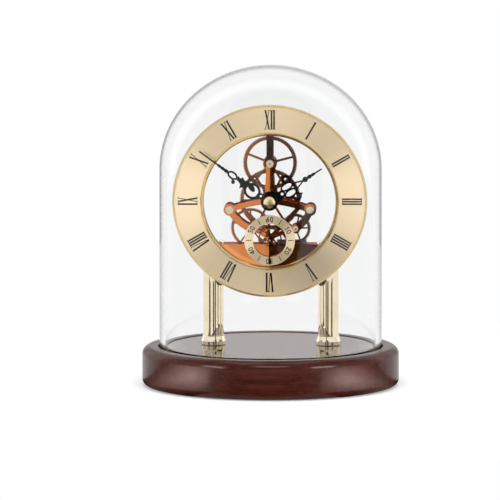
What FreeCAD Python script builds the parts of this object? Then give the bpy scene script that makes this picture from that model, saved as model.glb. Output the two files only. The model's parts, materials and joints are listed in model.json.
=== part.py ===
"""Skeleton clock under a glass dome, millimetres.

The origin is the middle of the base's underside, +Z is up and the dial looks towards -Y.
Pieces of the dial and movement are drawn in the dial's own frame: x to the right, y up from the
dial's centre, and z towards the person who reads the time.
"""

import FreeCAD, Part
import math
import os

import Sketcher

V = FreeCAD.Vector

SIZES = (
    # stand
    ("base_radius", 75),
    ("base_height", 23.3),
    ("base_top_round", 4.5),
    ("base_bottom_round", 4),
    ("felt_radius", 66),
    ("felt_thickness", 1.2),
    ("felt_recess", 0.8),
    ("plate_radius", 60.2),
    ("plate_thickness", 1.0),
    ("plate_edge_gap", 0.4),
    ("groove_depth", 4),
    # dome
    ("clock_height", 188),
    ("dome_radius", 65),
    ("dome_wall", 3),
    ("dome_gap", 0.8),
    ("dome_crown_height", 61),
    # pillars
    ("pillar_radius", 6),
    ("pillar_spacing", 67.3),
    ("pillar_back", 5),
    ("pillar_height", 61.5),
    ("pillar_flat_depth", 1),
    ("pillar_flat_drop", 46.5),
    ("pillar_top_round", 0.8),
    ("collar_radius", 7.3),
    ("collar_lip", 0.35),
    ("collar_height", 5.8),
    ("collar_foot_height", 2.4),
    ("collar_edge", 0.5),
    ("pillar_screw_radius", 2),
    ("pillar_screw_head_radius", 3.6),
    ("pillar_screw_head_height", 2.4),
    ("pillar_screw_grip", 12),
    ("washer_radius", 5),
    ("washer_thickness", 1),
    ("counterbore_radius", 5.6),
    ("counterbore_depth", 5.5),
    ("screw_play", 0.25),
    ("thread_play", 0.03),
    ("screw_slot_width", 0.6),
    # dial
    ("dial_height", 110),
    ("dial_radius", 56.2),
    ("dial_opening_radius", 38.3),
    ("dial_front", 15),
    ("dial_thickness", 1.5),
    ("rim_width", 1.1),
    ("rim_proud", 0.35),
    ("rim_depth", 2.4),
    ("bezel_width", 2.0),
    ("bezel_proud", 0.8),
    ("bezel_slope", 0.6),
    ("numeral_inner_radius", 42.0),
    ("numeral_outer_radius", 53.2),
    ("numeral_thickness", 0.12),
    ("numeral_thick_stroke", 0.95),
    ("numeral_thin_stroke", 0.42),
    ("numeral_serif_height", 0.32),
    ("numeral_serif_reach", 0.17),
    ("numeral_gap", 0.15),
    ("numeral_v_width", 3.0),
    ("numeral_x_width", 3.1),
    # seconds ring
    ("seconds_drop", 22.8),
    ("seconds_radius", 14.7),
    ("seconds_opening_radius", 9.75),
    ("seconds_thickness", 1.0),
    ("seconds_lift", 0.4),
    ("seconds_post_radius", 1.0),
    ("digit_height", 3.1),
    ("digit_width", 1.9),
    ("digit_stroke", 0.48),
    ("digit_gap", 0.45),
    ("digit_thickness", 0.1),
    ("tick_length", 3.1),
    ("tick_width", 0.4),
    # carrier ring behind the dial
    ("carrier_radius", 54.5),
    ("carrier_opening_radius", 40.0),
    ("carrier_thickness", 1.5),
    ("carrier_screw_radius", 1.0),
    ("carrier_screw_head_radius", 2.1),
    ("carrier_screw_head_height", 1.3),
    ("carrier_screw_grip", 6),
    ("carrier_screw_upper_drop", 30.5),
    ("carrier_screw_lower_drop", 37.5),
    ("dial_post_radius", 2.2),
    ("dial_post_circle", 47.0),
    # bridges
    ("bridge_thickness", 1.5),
    ("bridge_bar_width", 3.9),
    ("bridge_tongue_radius", 44.6),
    ("bridge_tongue_screw_radius", 42.3),
    ("bridge_boss_radius", 4.0),
    ("bridge_hub_radius", 5.2),
    ("bridge_flare_width", 5.8),
    ("bridge_flare_height", 4.4),
    ("wing_reach", 23.5),
    ("wing_drop", 5.3),
    ("wing_boss_radius", 3.4),
    ("arm_width", 3.2),
    ("arm_rise", 0.8),
    ("leg_width", 3.7),
    ("leg_bow", 1.3),
    ("leg_end_radius", 2.5),
    ("yoke_radius", 12.1),
    ("yoke_width", 2.6),
    ("yoke_arm_width", 0.8),
    ("seconds_cock_radius", 1.9),
    ("bridge_post_radius", 1.6),
    ("bridge_screw_radius", 0.8),
    ("bridge_screw_head_radius", 2.3),
    ("bridge_screw_head_height", 0.9),
    ("bridge_screw_grip", 3.0),
    ("bush_radius", 1.25),
    ("bush_show_radius", 2.2),
    ("leg_bush_radius", 1.7),
    ("centre_bush_radius", 2.7),
    ("rear_strut_width", 2.4),
    # train
    ("wheel_thickness", 0.8),
    ("pinion_length", 1.2),
    ("layer_clearance", 1.2),
    ("layer_end_room", 1.0),
    ("arbor_radius", 0.6),
    ("centre_arbor_radius", 0.8),
    ("running_gap", 0.04),
    ("collet_radius", 2.2),
    ("collet_height", 0.9),
    ("going_module", 0.2607),
    ("third_module", 0.24),
    ("seconds_module", 0.3),
    ("rotor_module", 0.29),
    ("cannon_module", 0.24),
    ("wheel_rim_width", 1.9),
    ("small_rim_width", 1.4),
    ("spoke_width", 1.3),
    ("small_spoke_width", 0.9),
    ("cannon_pipe_wall", 0.34),
    ("hour_pipe_wall", 0.4),
    ("stud_radius", 0.5),
    ("third_stud_radius", 0.9),
    ("stud_head_radius", 1.0),
    ("stud_head_height", 0.5),
    ("seconds_wheel_ring_radius", 6.9),
    # hands
    ("minute_hand_length", 50.3),
    ("hour_hand_length", 36.0),
    ("seconds_hand_length", 14.0),
    ("seconds_hand_tail", 5.4),
    ("hand_thickness", 0.6),
    ("seconds_hand_thickness", 0.35),
    ("seconds_hand_width", 0.75),
    ("seconds_hand_hub_radius", 1.15),
    ("hand_hub_radius", 5.0),
    ("hand_line", 1.05),
    ("hand_tip_width", 0.8),
    ("seconds_hand_room", 0.6),
    ("hour_hand_room", 0.8),
    ("minute_hand_room", 1.0),
    ("nut_radius", 3.6),
    ("nut_height", 2.2),
    ("nut_edge", 0.6),
    ("knob_radius", 4.6),
    ("knob_length", 5.0),
    ("knob_gap", 2.0),
    ("knob_notch_radius", 0.5),
    # motor case
    ("cover_thickness", 1.2),
    ("cover_top_drop", 25.4),
    ("cover_top_gap", 0.4),
    ("cover_shelf_thickness", 0.6),
    ("cover_slot_gap", 0.6),
    ("cover_radius", 54.0),
    ("cover_scallop_depth", 1.3),
    ("cover_stud_radius", 1.3),
    ("cover_stud_reach", 8.7),
    ("cover_stud_drop", 27.3),
    ("case_pillar_gap", 0.35),
    ("case_step", 3.5),
    ("case_bottom_drop", 53.0),
    ("case_dial_inset", 0.4),
    ("case_screw_spread", 14),
    ("case_wall", 1.2),
    ("case_partition", 1.5),
    ("case_front_room", 8.8),
    ("battery_radius", 7.25),
    ("battery_length", 50.5),
    ("battery_play", 0.5),
    ("battery_depth_room", 16.7),
    ("battery_cap_radius", 2.7),
    ("battery_cap_height", 1.2),
    ("battery_drop", 39.5),
    ("contact_thickness", 0.4),
    ("battery_cover_thickness", 1.2),
    ("battery_cover_overlap", 0.6),
    ("battery_cover_lip", 1.4),
    ("battery_cover_play", 0.15),
    ("cover_screw_radius", 1.0),
    ("cover_screw_head_radius", 1.7),
    ("cover_screw_head_height", 1.1),
    ("case_boss_radius", 2.4),
    ("board_thickness", 1.2),
    ("board_width", 24),
    ("board_height", 14.5),
    ("board_drop", 32.4),
    ("board_edge_gap", 1.2),
    ("crystal_radius", 1.0),
    ("crystal_length", 6),
    ("chip_radius", 2.6),
    ("chip_height", 1.0),
    ("magnet_radius", 1.9),
    ("magnet_length", 2.6),
    ("magnet_lift", 0.9),
    ("stator_gap", 0.45),
    ("stator_left_reach", 11),
    ("stator_right_reach", 6.2),
    ("stator_wall", 0.9),
    ("stator_lift", 1.3),
    ("stator_peg_drop", 34),
    ("stator_leg_width", 3.0),
    ("stator_thickness", 1.2),
    ("coil_radius", 2.9),
    ("coil_drop", 43.5),
    ("coil_core_width", 2.5),
    ("coil_end_gap", 0.4),
    ("case_peg_radius", 0.8),
    # allowance by which a cutting tool runs past what it cuts
    ("overrun", 1.0),
)

# tooth counts
CENTRE_TEETH = 135
THIRD_PINION_TEETH = 18
THIRD_TEETH = 96
SECONDS_PINION_TEETH = 12
SECONDS_TEETH = 90
INTERMEDIATE_PINION_TEETH = 18
INTERMEDIATE_TEETH = 60
ROTOR_TEETH = 10
UPPER_PINION_TEETH = 31
UPPER_TEETH = 120
CANNON_TEETH = 12
MOTION_TEETH = 36
MOTION_PINION_TEETH = 10
HOUR_TEETH = 40

# addendum and dedendum in modules, then half the tooth at root, pitch line and tip in tooth steps
WHEEL_TOOTH_SHARES = (0.85, 1.15, 0.31, 0.205, 0.075)
PINION_TOOTH_SHARES = (0.75, 1.10, 0.20, 0.195, 0.085)

# degrees clockwise from twelve, for the time ten to two and thirty seconds
MINUTE_HAND_ANGLE = 306.0
HOUR_HAND_ANGLE = 57.3
SECONDS_HAND_ANGLE = 180.0

# degrees anticlockwise from the right
INTERMEDIATE_ANGLE = 22.7
ROTOR_ANGLE = -90.0
DIAL_POST_ANGLES = (45, 135, 205, 335)
SECONDS_POST_ANGLES = (90, 218, 322)
COVER_SCREW_ANGLES = (225, 315)
YOKE_ARM_ANGLES = (30, 150)
KNOB_NOTCHES = 24

# parts of other lengths
NUT_CROWN_SHARES = ((0.62, 0.86), (0.3, 1.0))
HOUR_FORK_LINE_SHARE = 0.8
MINUTE_RING_LINE_SHARE = 1.3
REAR_STRUT_SHARE = 0.75
SECONDS_ARM_RISE_SHARE = 0.25

doc = FreeCAD.newDocument("dome_clock")
sheet = doc.addObject("Spreadsheet::Sheet", "sizes")
for row, (alias, value) in enumerate(SIZES, start=1):
    sheet.set(f"A{row}", alias)
    sheet.set(f"B{row}", str(value))
    sheet.setAlias(f"B{row}", alias)
doc.recompute()

pieces = {}


def text_of(number):
    return number.text if isinstance(number, Size) else repr(float(number))


class Size(float):
    """A length that also knows the sheet expression that gives it."""

    def __new__(cls, number, text):
        made = super().__new__(cls, number)
        made.text = text
        return made

    def __add__(self, other):
        return Size(float(self) + float(other), f"({self.text} + {text_of(other)})")

    def __radd__(self, other):
        return Size(float(other) + float(self), f"({text_of(other)} + {self.text})")

    def __sub__(self, other):
        return Size(float(self) - float(other), f"({self.text} - {text_of(other)})")

    def __rsub__(self, other):
        return Size(float(other) - float(self), f"({text_of(other)} - {self.text})")

    def __mul__(self, other):
        return Size(float(self) * float(other), f"({self.text} * {text_of(other)})")

    def __rmul__(self, other):
        return Size(float(other) * float(self), f"({text_of(other)} * {self.text})")

    def __truediv__(self, other):
        return Size(float(self) / float(other), f"({self.text} / {text_of(other)})")

    def __neg__(self):
        return Size(-float(self), f"(-{self.text})")


class Sizes:
    """The sheet's cells by name."""

    def __getattr__(self, alias):
        return Size(float(sheet.get(alias)), f"sizes.{alias}")


size = Sizes()


def bind(thing, name, number):
    if isinstance(number, Size):
        thing.setExpression(name, number.text)


FACE_TURN = FreeCAD.Rotation(V(1, 0, 0), 90)


def put(thing, at=(0, 0, 0), on_face=True, clockwise_turn=0.0):
    """Places a piece in the dial's frame, or in the clock's own frame."""
    x, y, z = at
    base = (x, -z, size.dial_height + y) if on_face else (x, y, z)
    turn = FACE_TURN if on_face else FreeCAD.Rotation()
    turn = turn.multiply(FreeCAD.Rotation(V(0, 0, 1), -clockwise_turn))
    thing.Placement = FreeCAD.Placement(V(*[float(n) for n in base]), turn)
    for axis, number in zip("xyz", base):
        bind(thing, f".Placement.Base.{axis}", number)


def keep(label, thing):
    thing.Label = label
    pieces[label] = thing
    return thing


def driven_sketch(body, role, name, points):
    """A closed outline whose corners are bound to the sheet."""
    plane = [o for o in body.Origin.OriginFeatures if o.Role == role][0]
    sketch = body.newObject("Sketcher::SketchObject", name)
    sketch.AttachmentSupport = [(plane, "")]
    sketch.MapMode = "FlatFace"
    count = len(points)
    corners = [V(float(a), float(b), 0) for a, b in points]
    sketch.addGeometry(
        [Part.LineSegment(corners[i], corners[(i + 1) % count]) for i in range(count)], False
    )
    for i in range(count):
        sketch.addConstraint(Sketcher.Constraint("Coincident", i, 2, (i + 1) % count, 1))
    for i, point in enumerate(points):
        for kind, number in zip(("DistanceX", "DistanceY"), point):
            index = sketch.addConstraint(
                Sketcher.Constraint(kind, -1, 1, i, 1, float(number))
            )
            bind(sketch, f"Constraints[{index}]", number)
    return sketch


def turned(name, points, at=(0, 0, 0), on_face=True):
    """A turned body from (radius, height) corners."""
    body = doc.addObject("PartDesign::Body", name)
    sketch = driven_sketch(body, "XZ_Plane", name + "_profile", points)
    made = body.newObject("PartDesign::Revolution", name + "_turned")
    made.Profile = sketch
    made.ReferenceAxis = (sketch, ["V_Axis"])
    made.Angle = 360
    put(body, at, on_face)
    return body


def rounded(body, name, places, radius):
    """Rounds the circular edges of a turned body at the given (radius, height) places."""
    doc.recompute()
    base = body.Tip
    found = []
    for number, edge in enumerate(base.Shape.Edges, start=1):
        if not isinstance(edge.Curve, Part.Circle):
            continue
        for place_radius, height in places:
            off = abs(edge.Curve.Radius - place_radius) + abs(edge.Curve.Center.z - height)
            if off < float(radius) / 100:
                found.append(f"Edge{number}")
    fillet = body.newObject("PartDesign::Fillet", name)
    fillet.Base = (base, sorted(set(found)))
    fillet.Radius = float(radius)
    bind(fillet, "Radius", radius)
    return body


def ring_body(name, outer, inner, low, high, at=(0, 0), on_face=True):
    corners = [(inner, 0), (outer, 0), (outer, high - low), (inner, high - low)]
    return turned(name, corners, (at[0], at[1], low), on_face)


def cylinder(name, radius, low, high, at=(0, 0), on_face=True):
    made = doc.addObject("Part::Cylinder", name)
    made.Radius = float(radius)
    made.Height = float(high - low)
    bind(made, "Radius", radius)
    bind(made, "Height", high - low)
    put(made, (at[0], at[1], low), on_face)
    return made


def box(name, low, high, on_face=True):
    """A block between two opposite corners."""
    made = doc.addObject("Part::Box", name)
    for side, a, b in zip(("Length", "Width", "Height"), low, high):
        setattr(made, side, float(b - a))
        bind(made, side, b - a)
    put(made, low, on_face)
    return made


def cut(name, base, tools):
    tool = tools[0]
    if len(tools) > 1:
        tool = doc.addObject("Part::MultiFuse", name + "_tools")
        tool.Shapes = tools
    made = doc.addObject("Part::Cut", name)
    made.Base = base
    made.Tool = tool
    return made


def fused(name, parts):
    made = doc.addObject("Part::MultiFuse", name)
    made.Shapes = parts
    return made


def feature(label, shape, at=(0, 0), on_face=True, clockwise_turn=0.0):
    """A piece whose shape is worked out in the code below."""
    made = doc.addObject("Part::Feature", label)
    made.Shape = shape
    put(made, (at[0], at[1], 0), on_face, clockwise_turn)
    return keep(label, made)


def disc(radius, low, high, at=(0, 0)):
    return Part.makeCylinder(float(radius), float(high - low), V(float(at[0]), float(at[1]), float(low)))


def ring(outer, inner, low, high, at=(0, 0)):
    return disc(outer, low, high, at).cut(disc(inner, low, high, at))


def slab(points, low, high):
    """A flat plate from its outline."""
    corners = [V(float(x), float(y), float(low)) for x, y in points]
    face = Part.Face(Part.makePolygon(corners + corners[:1]))
    return face.extrude(V(0, 0, float(high - low)))


def bar(start, end, width, low, high, end_width=None):
    """A straight bar that may taper to another width."""
    end_width = width if end_width is None else end_width
    along = V(end[0] - start[0], end[1] - start[1], 0)
    along.normalize()
    side = (-along.y, along.x)
    corners = [
        (start[0] + side[0] * width / 2, start[1] + side[1] * width / 2),
        (start[0] - side[0] * width / 2, start[1] - side[1] * width / 2),
        (end[0] - side[0] * end_width / 2, end[1] - side[1] * end_width / 2),
        (end[0] + side[0] * end_width / 2, end[1] + side[1] * end_width / 2),
    ]
    return slab(corners, low, high)


def oval(centre, half_length, half_width, low, high, turn=0.0):
    """An elliptical plate, long in y before it is turned clockwise by some degrees."""
    long_half, short_half = max(half_length, half_width), min(half_length, half_width)
    lean = 90.0 if half_length >= half_width else 0.0
    ellipse = Part.Ellipse(V(0, 0, 0), float(long_half), float(short_half))
    made = Part.Face(Part.Wire(ellipse.toShape())).extrude(V(0, 0, float(high - low)))
    made.rotate(V(0, 0, 0), V(0, 0, 1), lean - turn)
    made.translate(V(float(centre[0]), float(centre[1]), float(low)))
    return made


def joined(shapes):
    whole = shapes[0].multiFuse(list(shapes[1:])) if len(shapes) > 1 else shapes[0]
    whole = whole.removeSplitter()
    return whole.Solids[0] if len(whole.Solids) == 1 else whole


def without(shape, tools):
    return shape.cut(Part.makeCompound(list(tools)))


def group(shapes):
    solids = []
    for shape in shapes:
        solids += shape.Solids
    return Part.makeCompound(solids)


def clockwise(shape, degrees, centre=(0, 0)):
    shape.rotate(V(float(centre[0]), float(centre[1]), 0), V(0, 0, 1), -degrees)
    return shape


def polar(radius, degrees, centre=(0, 0)):
    """A point at an angle counted anticlockwise from the right."""
    angle = math.radians(degrees)
    reach = float(radius)
    return (centre[0] + reach * math.cos(angle), centre[1] + reach * math.sin(angle))


# depths in the dial's frame, from the pillars' flats forwards
flats = size.pillar_radius - size.pillar_back - size.pillar_flat_depth
carrier_front = flats + size.carrier_thickness
rear_bridge_front = carrier_front + size.bridge_thickness
dial_back = size.dial_front - size.dial_thickness
front_bridge_back = dial_back - size.bridge_thickness
seconds_back = size.dial_front + size.seconds_lift
seconds_front = seconds_back + size.seconds_thickness
seconds_hand_back = seconds_front + size.seconds_hand_room
hour_hand_back = seconds_hand_back + size.seconds_hand_thickness + size.hour_hand_room
minute_hand_back = hour_hand_back + size.hand_thickness + size.minute_hand_room
minute_hand_front = minute_hand_back + size.hand_thickness
layer_step = (front_bridge_back - rear_bridge_front - size.layer_end_room) / 4


def layer(number):
    """The back of a wheel in one of the four layers between the bridges, 0 at the rear."""
    return rear_bridge_front + size.layer_clearance + layer_step * number


def pinion_low(number):
    return layer(number) - (size.pinion_length - size.wheel_thickness) / 2


def centres(module, teeth, other_teeth):
    return module * ((teeth + other_teeth) / 2)


# where each arbor stands, from the centre of the dial
seconds_at = (0.0, -float(size.seconds_drop))
upper_at = (0.0, float(centres(size.going_module, CENTRE_TEETH, UPPER_PINION_TEETH)))
motion_at = (0.0, float(centres(size.cannon_module, CANNON_TEETH, MOTION_TEETH)))


def crossing(first, first_reach, second, second_reach):
    """The point to the left at one distance from each of two places on the vertical axis."""
    apart = first[1] - second[1]
    along = (apart**2 + first_reach**2 - second_reach**2) / (2 * apart)
    return (-math.sqrt(first_reach**2 - along**2), first[1] - along)


third_at = crossing(
    (0.0, 0.0),
    float(centres(size.going_module, CENTRE_TEETH, THIRD_PINION_TEETH)),
    seconds_at,
    float(centres(size.third_module, THIRD_TEETH, SECONDS_PINION_TEETH)),
)
intermediate_at = polar(
    float(centres(size.seconds_module, SECONDS_TEETH, INTERMEDIATE_PINION_TEETH)),
    INTERMEDIATE_ANGLE,
    seconds_at,
)
rotor_at = polar(
    float(centres(size.rotor_module, INTERMEDIATE_TEETH, ROTOR_TEETH)), ROTOR_ANGLE, intermediate_at
)
wings_at = [
    (-float(size.wing_reach), -float(size.wing_drop)),
    (float(size.wing_reach), -float(size.wing_drop)),
]
case_half_width = size.pillar_spacing / 2 - size.pillar_radius - size.case_pillar_gap


def direction(start, end):
    return math.atan2(end[1] - start[1], end[0] - start[0])


def mesh_phase(teeth, phase, other_teeth, angle):
    """The phase that lets a gear at an angle from the first one mesh with it."""
    passed = teeth * (angle - phase) / (2 * math.pi) % 1
    return angle + math.pi - (2 * math.pi / other_teeth) * (0.5 - passed)


def toothed(teeth, module, phase, shares, low, high):
    """A toothed plate about the dial frame's own centre."""
    addendum, dedendum, root_half, pitch_half, tip_half = shares
    pitch_radius = float(module) * teeth / 2
    levels = (
        (pitch_radius - dedendum * float(module), root_half),
        (pitch_radius, pitch_half),
        (pitch_radius + addendum * float(module), tip_half),
    )
    step = 2 * math.pi / teeth
    points = []
    for tooth in range(teeth):
        middle = phase + tooth * step
        for radius, half in levels:
            points.append((radius * math.cos(middle - half * step), radius * math.sin(middle - half * step)))
        for radius, half in reversed(levels):
            points.append((radius * math.cos(middle + half * step), radius * math.sin(middle + half * step)))
    return slab(points, low, high)


def spoked(blank, outer, inner, spokes, width, first_angle, low, high):
    """Opens a blank between two radii, leaving straight spokes."""
    window = ring(outer, inner, low, high)
    arms = [
        bar((0, 0), polar(float(outer + width), first_angle + k * 360 / spokes), width, low, high)
        for k in range(spokes)
    ]
    return blank.cut(window.cut(joined(arms)))


def root_radius(module, teeth):
    return module * (teeth / 2 - WHEEL_TOOTH_SHARES[1])


def tip_radius(module, teeth):
    return module * (teeth / 2 + WHEEL_TOOTH_SHARES[0])


def train_wheel(label, teeth, module, phase, low, rim_width, spokes, width, first_angle, at, bore):
    """A spoked wheel with a collet, pressed on its arbor."""
    high = low + size.wheel_thickness
    blank = toothed(teeth, module, phase, WHEEL_TOOTH_SHARES, low, high)
    inside = root_radius(module, teeth) - rim_width
    shape = spoked(blank, inside, size.collet_radius, spokes, width, first_angle, low, high)
    shape = joined([shape, disc(size.collet_radius, low, low + size.collet_height)])
    shape = shape.cut(disc(bore, low, low + size.collet_height))
    return feature(label, shape, at)


def arbor(label, radius, low, high, module, teeth, phase, pinion_back, at):
    """An arbor with its pinion cut in one."""
    top = pinion_back + size.pinion_length
    leaves = toothed(teeth, module, phase, PINION_TOOTH_SHARES, pinion_back, top)
    return feature(label, joined([disc(radius, low, high), leaves]), at)


# phases of the meshing gears, in radians
centre_phase = 0.0
third_pinion_phase = mesh_phase(
    CENTRE_TEETH, centre_phase, THIRD_PINION_TEETH, direction((0, 0), third_at)
)
upper_pinion_phase = mesh_phase(
    CENTRE_TEETH, centre_phase, UPPER_PINION_TEETH, direction((0, 0), upper_at)
)
third_phase = 0.0
seconds_pinion_phase = mesh_phase(
    THIRD_TEETH, third_phase, SECONDS_PINION_TEETH, direction(third_at, seconds_at)
)
seconds_phase = 0.0
intermediate_pinion_phase = mesh_phase(
    SECONDS_TEETH, seconds_phase, INTERMEDIATE_PINION_TEETH, direction(seconds_at, intermediate_at)
)
intermediate_phase = 0.0
rotor_phase = mesh_phase(
    INTERMEDIATE_TEETH, intermediate_phase, ROTOR_TEETH, direction(intermediate_at, rotor_at)
)
cannon_phase = 0.0
motion_phase = mesh_phase(CANNON_TEETH, cannon_phase, MOTION_TEETH, direction((0, 0), motion_at))
motion_pinion_phase = 0.0
hour_module = size.cannon_module * ((CANNON_TEETH + MOTION_TEETH) / (MOTION_PINION_TEETH + HOUR_TEETH))
hour_phase = mesh_phase(
    MOTION_PINION_TEETH, motion_pinion_phase, HOUR_TEETH, direction(motion_at, (0, 0))
)


# stand

groove_inner = size.plate_radius + size.plate_edge_gap
groove_outer = size.dome_radius + size.dome_gap
island_top = size.base_height - size.plate_thickness
wood_low = size.felt_thickness - size.felt_recess
recess_top = size.felt_thickness
pillar_places = [
    (-size.pillar_spacing / 2, size.pillar_back),
    (size.pillar_spacing / 2, size.pillar_back),
]


def stand():
    corners = [
        (0, recess_top),
        (size.felt_radius, recess_top),
        (size.felt_radius, wood_low),
        (size.base_radius, wood_low),
        (size.base_radius, size.base_height),
        (groove_outer, size.base_height),
        (groove_outer, size.base_height - size.groove_depth),
        (groove_inner, size.base_height - size.groove_depth),
        (groove_inner, island_top),
        (0, island_top),
    ]
    blank = turned("base_blank", corners, on_face=False)
    rounded(blank, "base_top_edge", [(size.base_radius, size.base_height)], size.base_top_round)
    rounded(blank, "base_bottom_edge", [(size.base_radius, wood_low)], size.base_bottom_round)
    tools = []
    for side, place in zip(("left", "right"), pillar_places):
        tools.append(
            cylinder(
                f"counterbore_{side}",
                size.counterbore_radius,
                recess_top - size.overrun,
                recess_top + size.counterbore_depth,
                place,
                False,
            )
        )
        tools.append(
            cylinder(
                f"base_hole_{side}",
                size.pillar_screw_radius + size.screw_play,
                recess_top,
                size.base_height,
                place,
                False,
            )
        )
    keep("wood_base", cut("wood_base", blank, tools))

    keep("base_felt", cylinder("base_felt", size.felt_radius, 0 * recess_top, recess_top, (0, 0), False))

    plate = ring_body("plate_blank", size.plate_radius, 0, island_top, size.base_height, on_face=False)
    holes = [
        cylinder(
            f"plate_hole_{side}",
            size.pillar_screw_radius + size.screw_play,
            island_top - size.overrun,
            size.base_height + size.overrun,
            place,
            False,
        )
        for side, place in zip(("left", "right"), pillar_places)
    ]
    keep("top_plate", cut("top_plate", plate, holes))


def domed(name, radius, bottom, crown_height):
    """A round column under half of an ellipsoid."""
    spring = size.clock_height - size.dome_crown_height
    column = cylinder(name + "_column", radius, bottom, spring, (0, 0), False)
    crown = doc.addObject("Part::Ellipsoid", name + "_crown")
    crown.Angle1 = 0
    crown.Angle2 = 90
    for side, number in (("Radius1", crown_height), ("Radius2", radius), ("Radius3", radius)):
        setattr(crown, side, float(number))
        bind(crown, side, number)
    put(crown, (0, 0, spring), False)
    return fused(name, [column, crown])


def dome():
    """One wall thickness all over, a straight skirt and a crown a little flatter than a ball."""
    bottom = size.base_height - size.groove_depth
    outer = domed("dome_outside", size.dome_radius, bottom, size.dome_crown_height)
    inner = domed(
        "dome_inside",
        size.dome_radius - size.dome_wall,
        bottom - size.overrun,
        size.dome_crown_height - size.dome_wall,
    )
    keep("glass_dome", cut("glass_dome", outer, [inner]))


def pillars():
    screw_low = recess_top + size.counterbore_depth - size.washer_thickness
    screw_top = size.base_height + size.pillar_screw_grip
    bore = size.pillar_screw_radius + size.thread_play
    collars = []
    washers = []
    screws = []
    for side, place in zip(("left", "right"), pillar_places):
        corners = [
            (bore, 0),
            (size.pillar_radius, 0),
            (size.pillar_radius, size.pillar_height),
            (0, size.pillar_height),
            (0, size.pillar_screw_grip + size.overrun),
            (bore, size.pillar_screw_grip + size.overrun),
        ]
        at = (place[0], place[1], size.base_height)
        rod = turned(f"rod_{side}", corners, at, False)
        rounded(
            rod, f"rod_end_{side}", [(size.pillar_radius, size.pillar_height)], size.pillar_top_round
        )
        front = -flats
        reach = size.pillar_radius
        flat_low = (place[0] - reach, front - reach, size.dial_height - size.pillar_flat_drop)
        flat_high = (place[0] + reach, front, size.dial_height)
        tools = [box(f"rod_flat_{side}", flat_low, flat_high, False)]
        for number, drop in enumerate((size.carrier_screw_upper_drop, size.carrier_screw_lower_drop)):
            tools.append(
                cylinder(
                    f"rod_tapping_{side}_{number}",
                    size.carrier_screw_radius + size.thread_play,
                    flats - size.carrier_screw_grip - size.overrun,
                    flats + size.overrun,
                    (place[0], -drop),
                )
            )
        keep(f"pillar_{side}", cut(f"pillar_{side}", rod, tools))

    neck = size.pillar_radius + size.collar_lip
    corners = [
        (size.pillar_radius, 0),
        (size.collar_radius - size.collar_edge, 0),
        (size.collar_radius, size.collar_edge),
        (size.collar_radius, size.collar_foot_height),
        ((neck + size.collar_radius) / 2, size.collar_foot_height + size.collar_edge * 2),
        (neck, size.collar_height - size.collar_edge),
        (neck, size.collar_height),
        (size.pillar_radius, size.collar_height),
    ]
    collar = turned("collar", corners, on_face=False)
    washer = ring_body(
        "washer",
        size.washer_radius,
        size.pillar_screw_radius + size.screw_play,
        0 * size.washer_thickness,
        size.washer_thickness,
        on_face=False,
    )
    screw_corners = [
        (0, -size.pillar_screw_head_height),
        (size.pillar_screw_head_radius, -size.pillar_screw_head_height),
        (size.pillar_screw_head_radius, 0),
        (size.pillar_screw_radius, 0),
        (size.pillar_screw_radius, screw_top - screw_low),
        (0, screw_top - screw_low),
    ]
    screw = turned("screw", screw_corners, on_face=False)
    doc.recompute()
    for place in pillar_places:
        x, y = float(place[0]), float(place[1])
        collars.append(collar.Shape.translated(V(x, y, float(size.base_height))))
        washers.append(washer.Shape.translated(V(x, y, float(screw_low))))
        slot = Part.makeBox(
            float(2 * size.pillar_screw_head_radius + 2 * size.overrun),
            float(size.screw_slot_width),
            float(size.pillar_screw_head_height / 2 + size.overrun),
            V(
                x - float(size.pillar_screw_head_radius + size.overrun),
                y - float(size.screw_slot_width) / 2,
                float(screw_low - size.pillar_screw_head_height - size.overrun),
            ),
        )
        screws.append(screw.Shape.translated(V(x, y, float(screw_low))).cut(slot))
    feature("pillar_collars", group(collars), on_face=False)
    feature("pillar_washers", group(washers), on_face=False)
    feature("pillar_screws", group(screws), on_face=False)


def dial():
    bezel_outer = size.dial_opening_radius + size.bezel_width
    rim_inner = size.dial_radius - size.rim_width
    blank = ring_body("dial_blank", rim_inner, bezel_outer, dial_back, size.dial_front)
    places = [(0, size.bridge_tongue_screw_radius)]
    places += [polar(size.dial_post_circle, angle) for angle in COVER_SCREW_ANGLES]
    tools = [
        cylinder(
            f"dial_tapping_{number}",
            size.bridge_screw_radius + size.thread_play,
            dial_back - size.overrun,
            dial_back + size.dial_thickness / 2,
            place,
        )
        for number, place in enumerate(places)
    ]
    keep("dial_ring", cut("dial_ring", blank, tools))
    keep(
        "outer_rim",
        ring_body(
            "outer_rim",
            size.dial_radius,
            rim_inner,
            size.dial_front + size.rim_proud - size.rim_depth,
            size.dial_front + size.rim_proud,
        ),
    )
    corners = [
        (size.dial_opening_radius, 0),
        (bezel_outer, 0),
        (bezel_outer, size.dial_thickness + size.bezel_proud - size.bezel_slope),
        (bezel_outer - size.bezel_slope, size.dial_thickness + size.bezel_proud),
        (size.dial_opening_radius + size.bezel_slope, size.dial_thickness + size.bezel_proud),
        (size.dial_opening_radius, size.dial_thickness + size.bezel_proud - size.bezel_slope),
    ]
    keep("inner_bezel", turned("inner_bezel", corners, (0, 0, dial_back)))


def letter_i(middle, low, high):
    """A stem with a serif at each end."""
    half = float(size.numeral_thick_stroke) / 2
    reach = half + float(size.numeral_serif_reach)
    serif = float(size.numeral_serif_height)
    bottom = float(size.numeral_inner_radius)
    top = float(size.numeral_outer_radius)
    corners = [
        (middle - reach, bottom),
        (middle + reach, bottom),
        (middle + reach, bottom + serif),
        (middle + half, bottom + 2 * serif),
        (middle + half, top - 2 * serif),
        (middle + reach, top - serif),
        (middle + reach, top),
        (middle - reach, top),
        (middle - reach, top - serif),
        (middle - half, top - 2 * serif),
        (middle - half, bottom + 2 * serif),
        (middle - reach, bottom + serif),
    ]
    return slab(corners, low, high)


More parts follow.
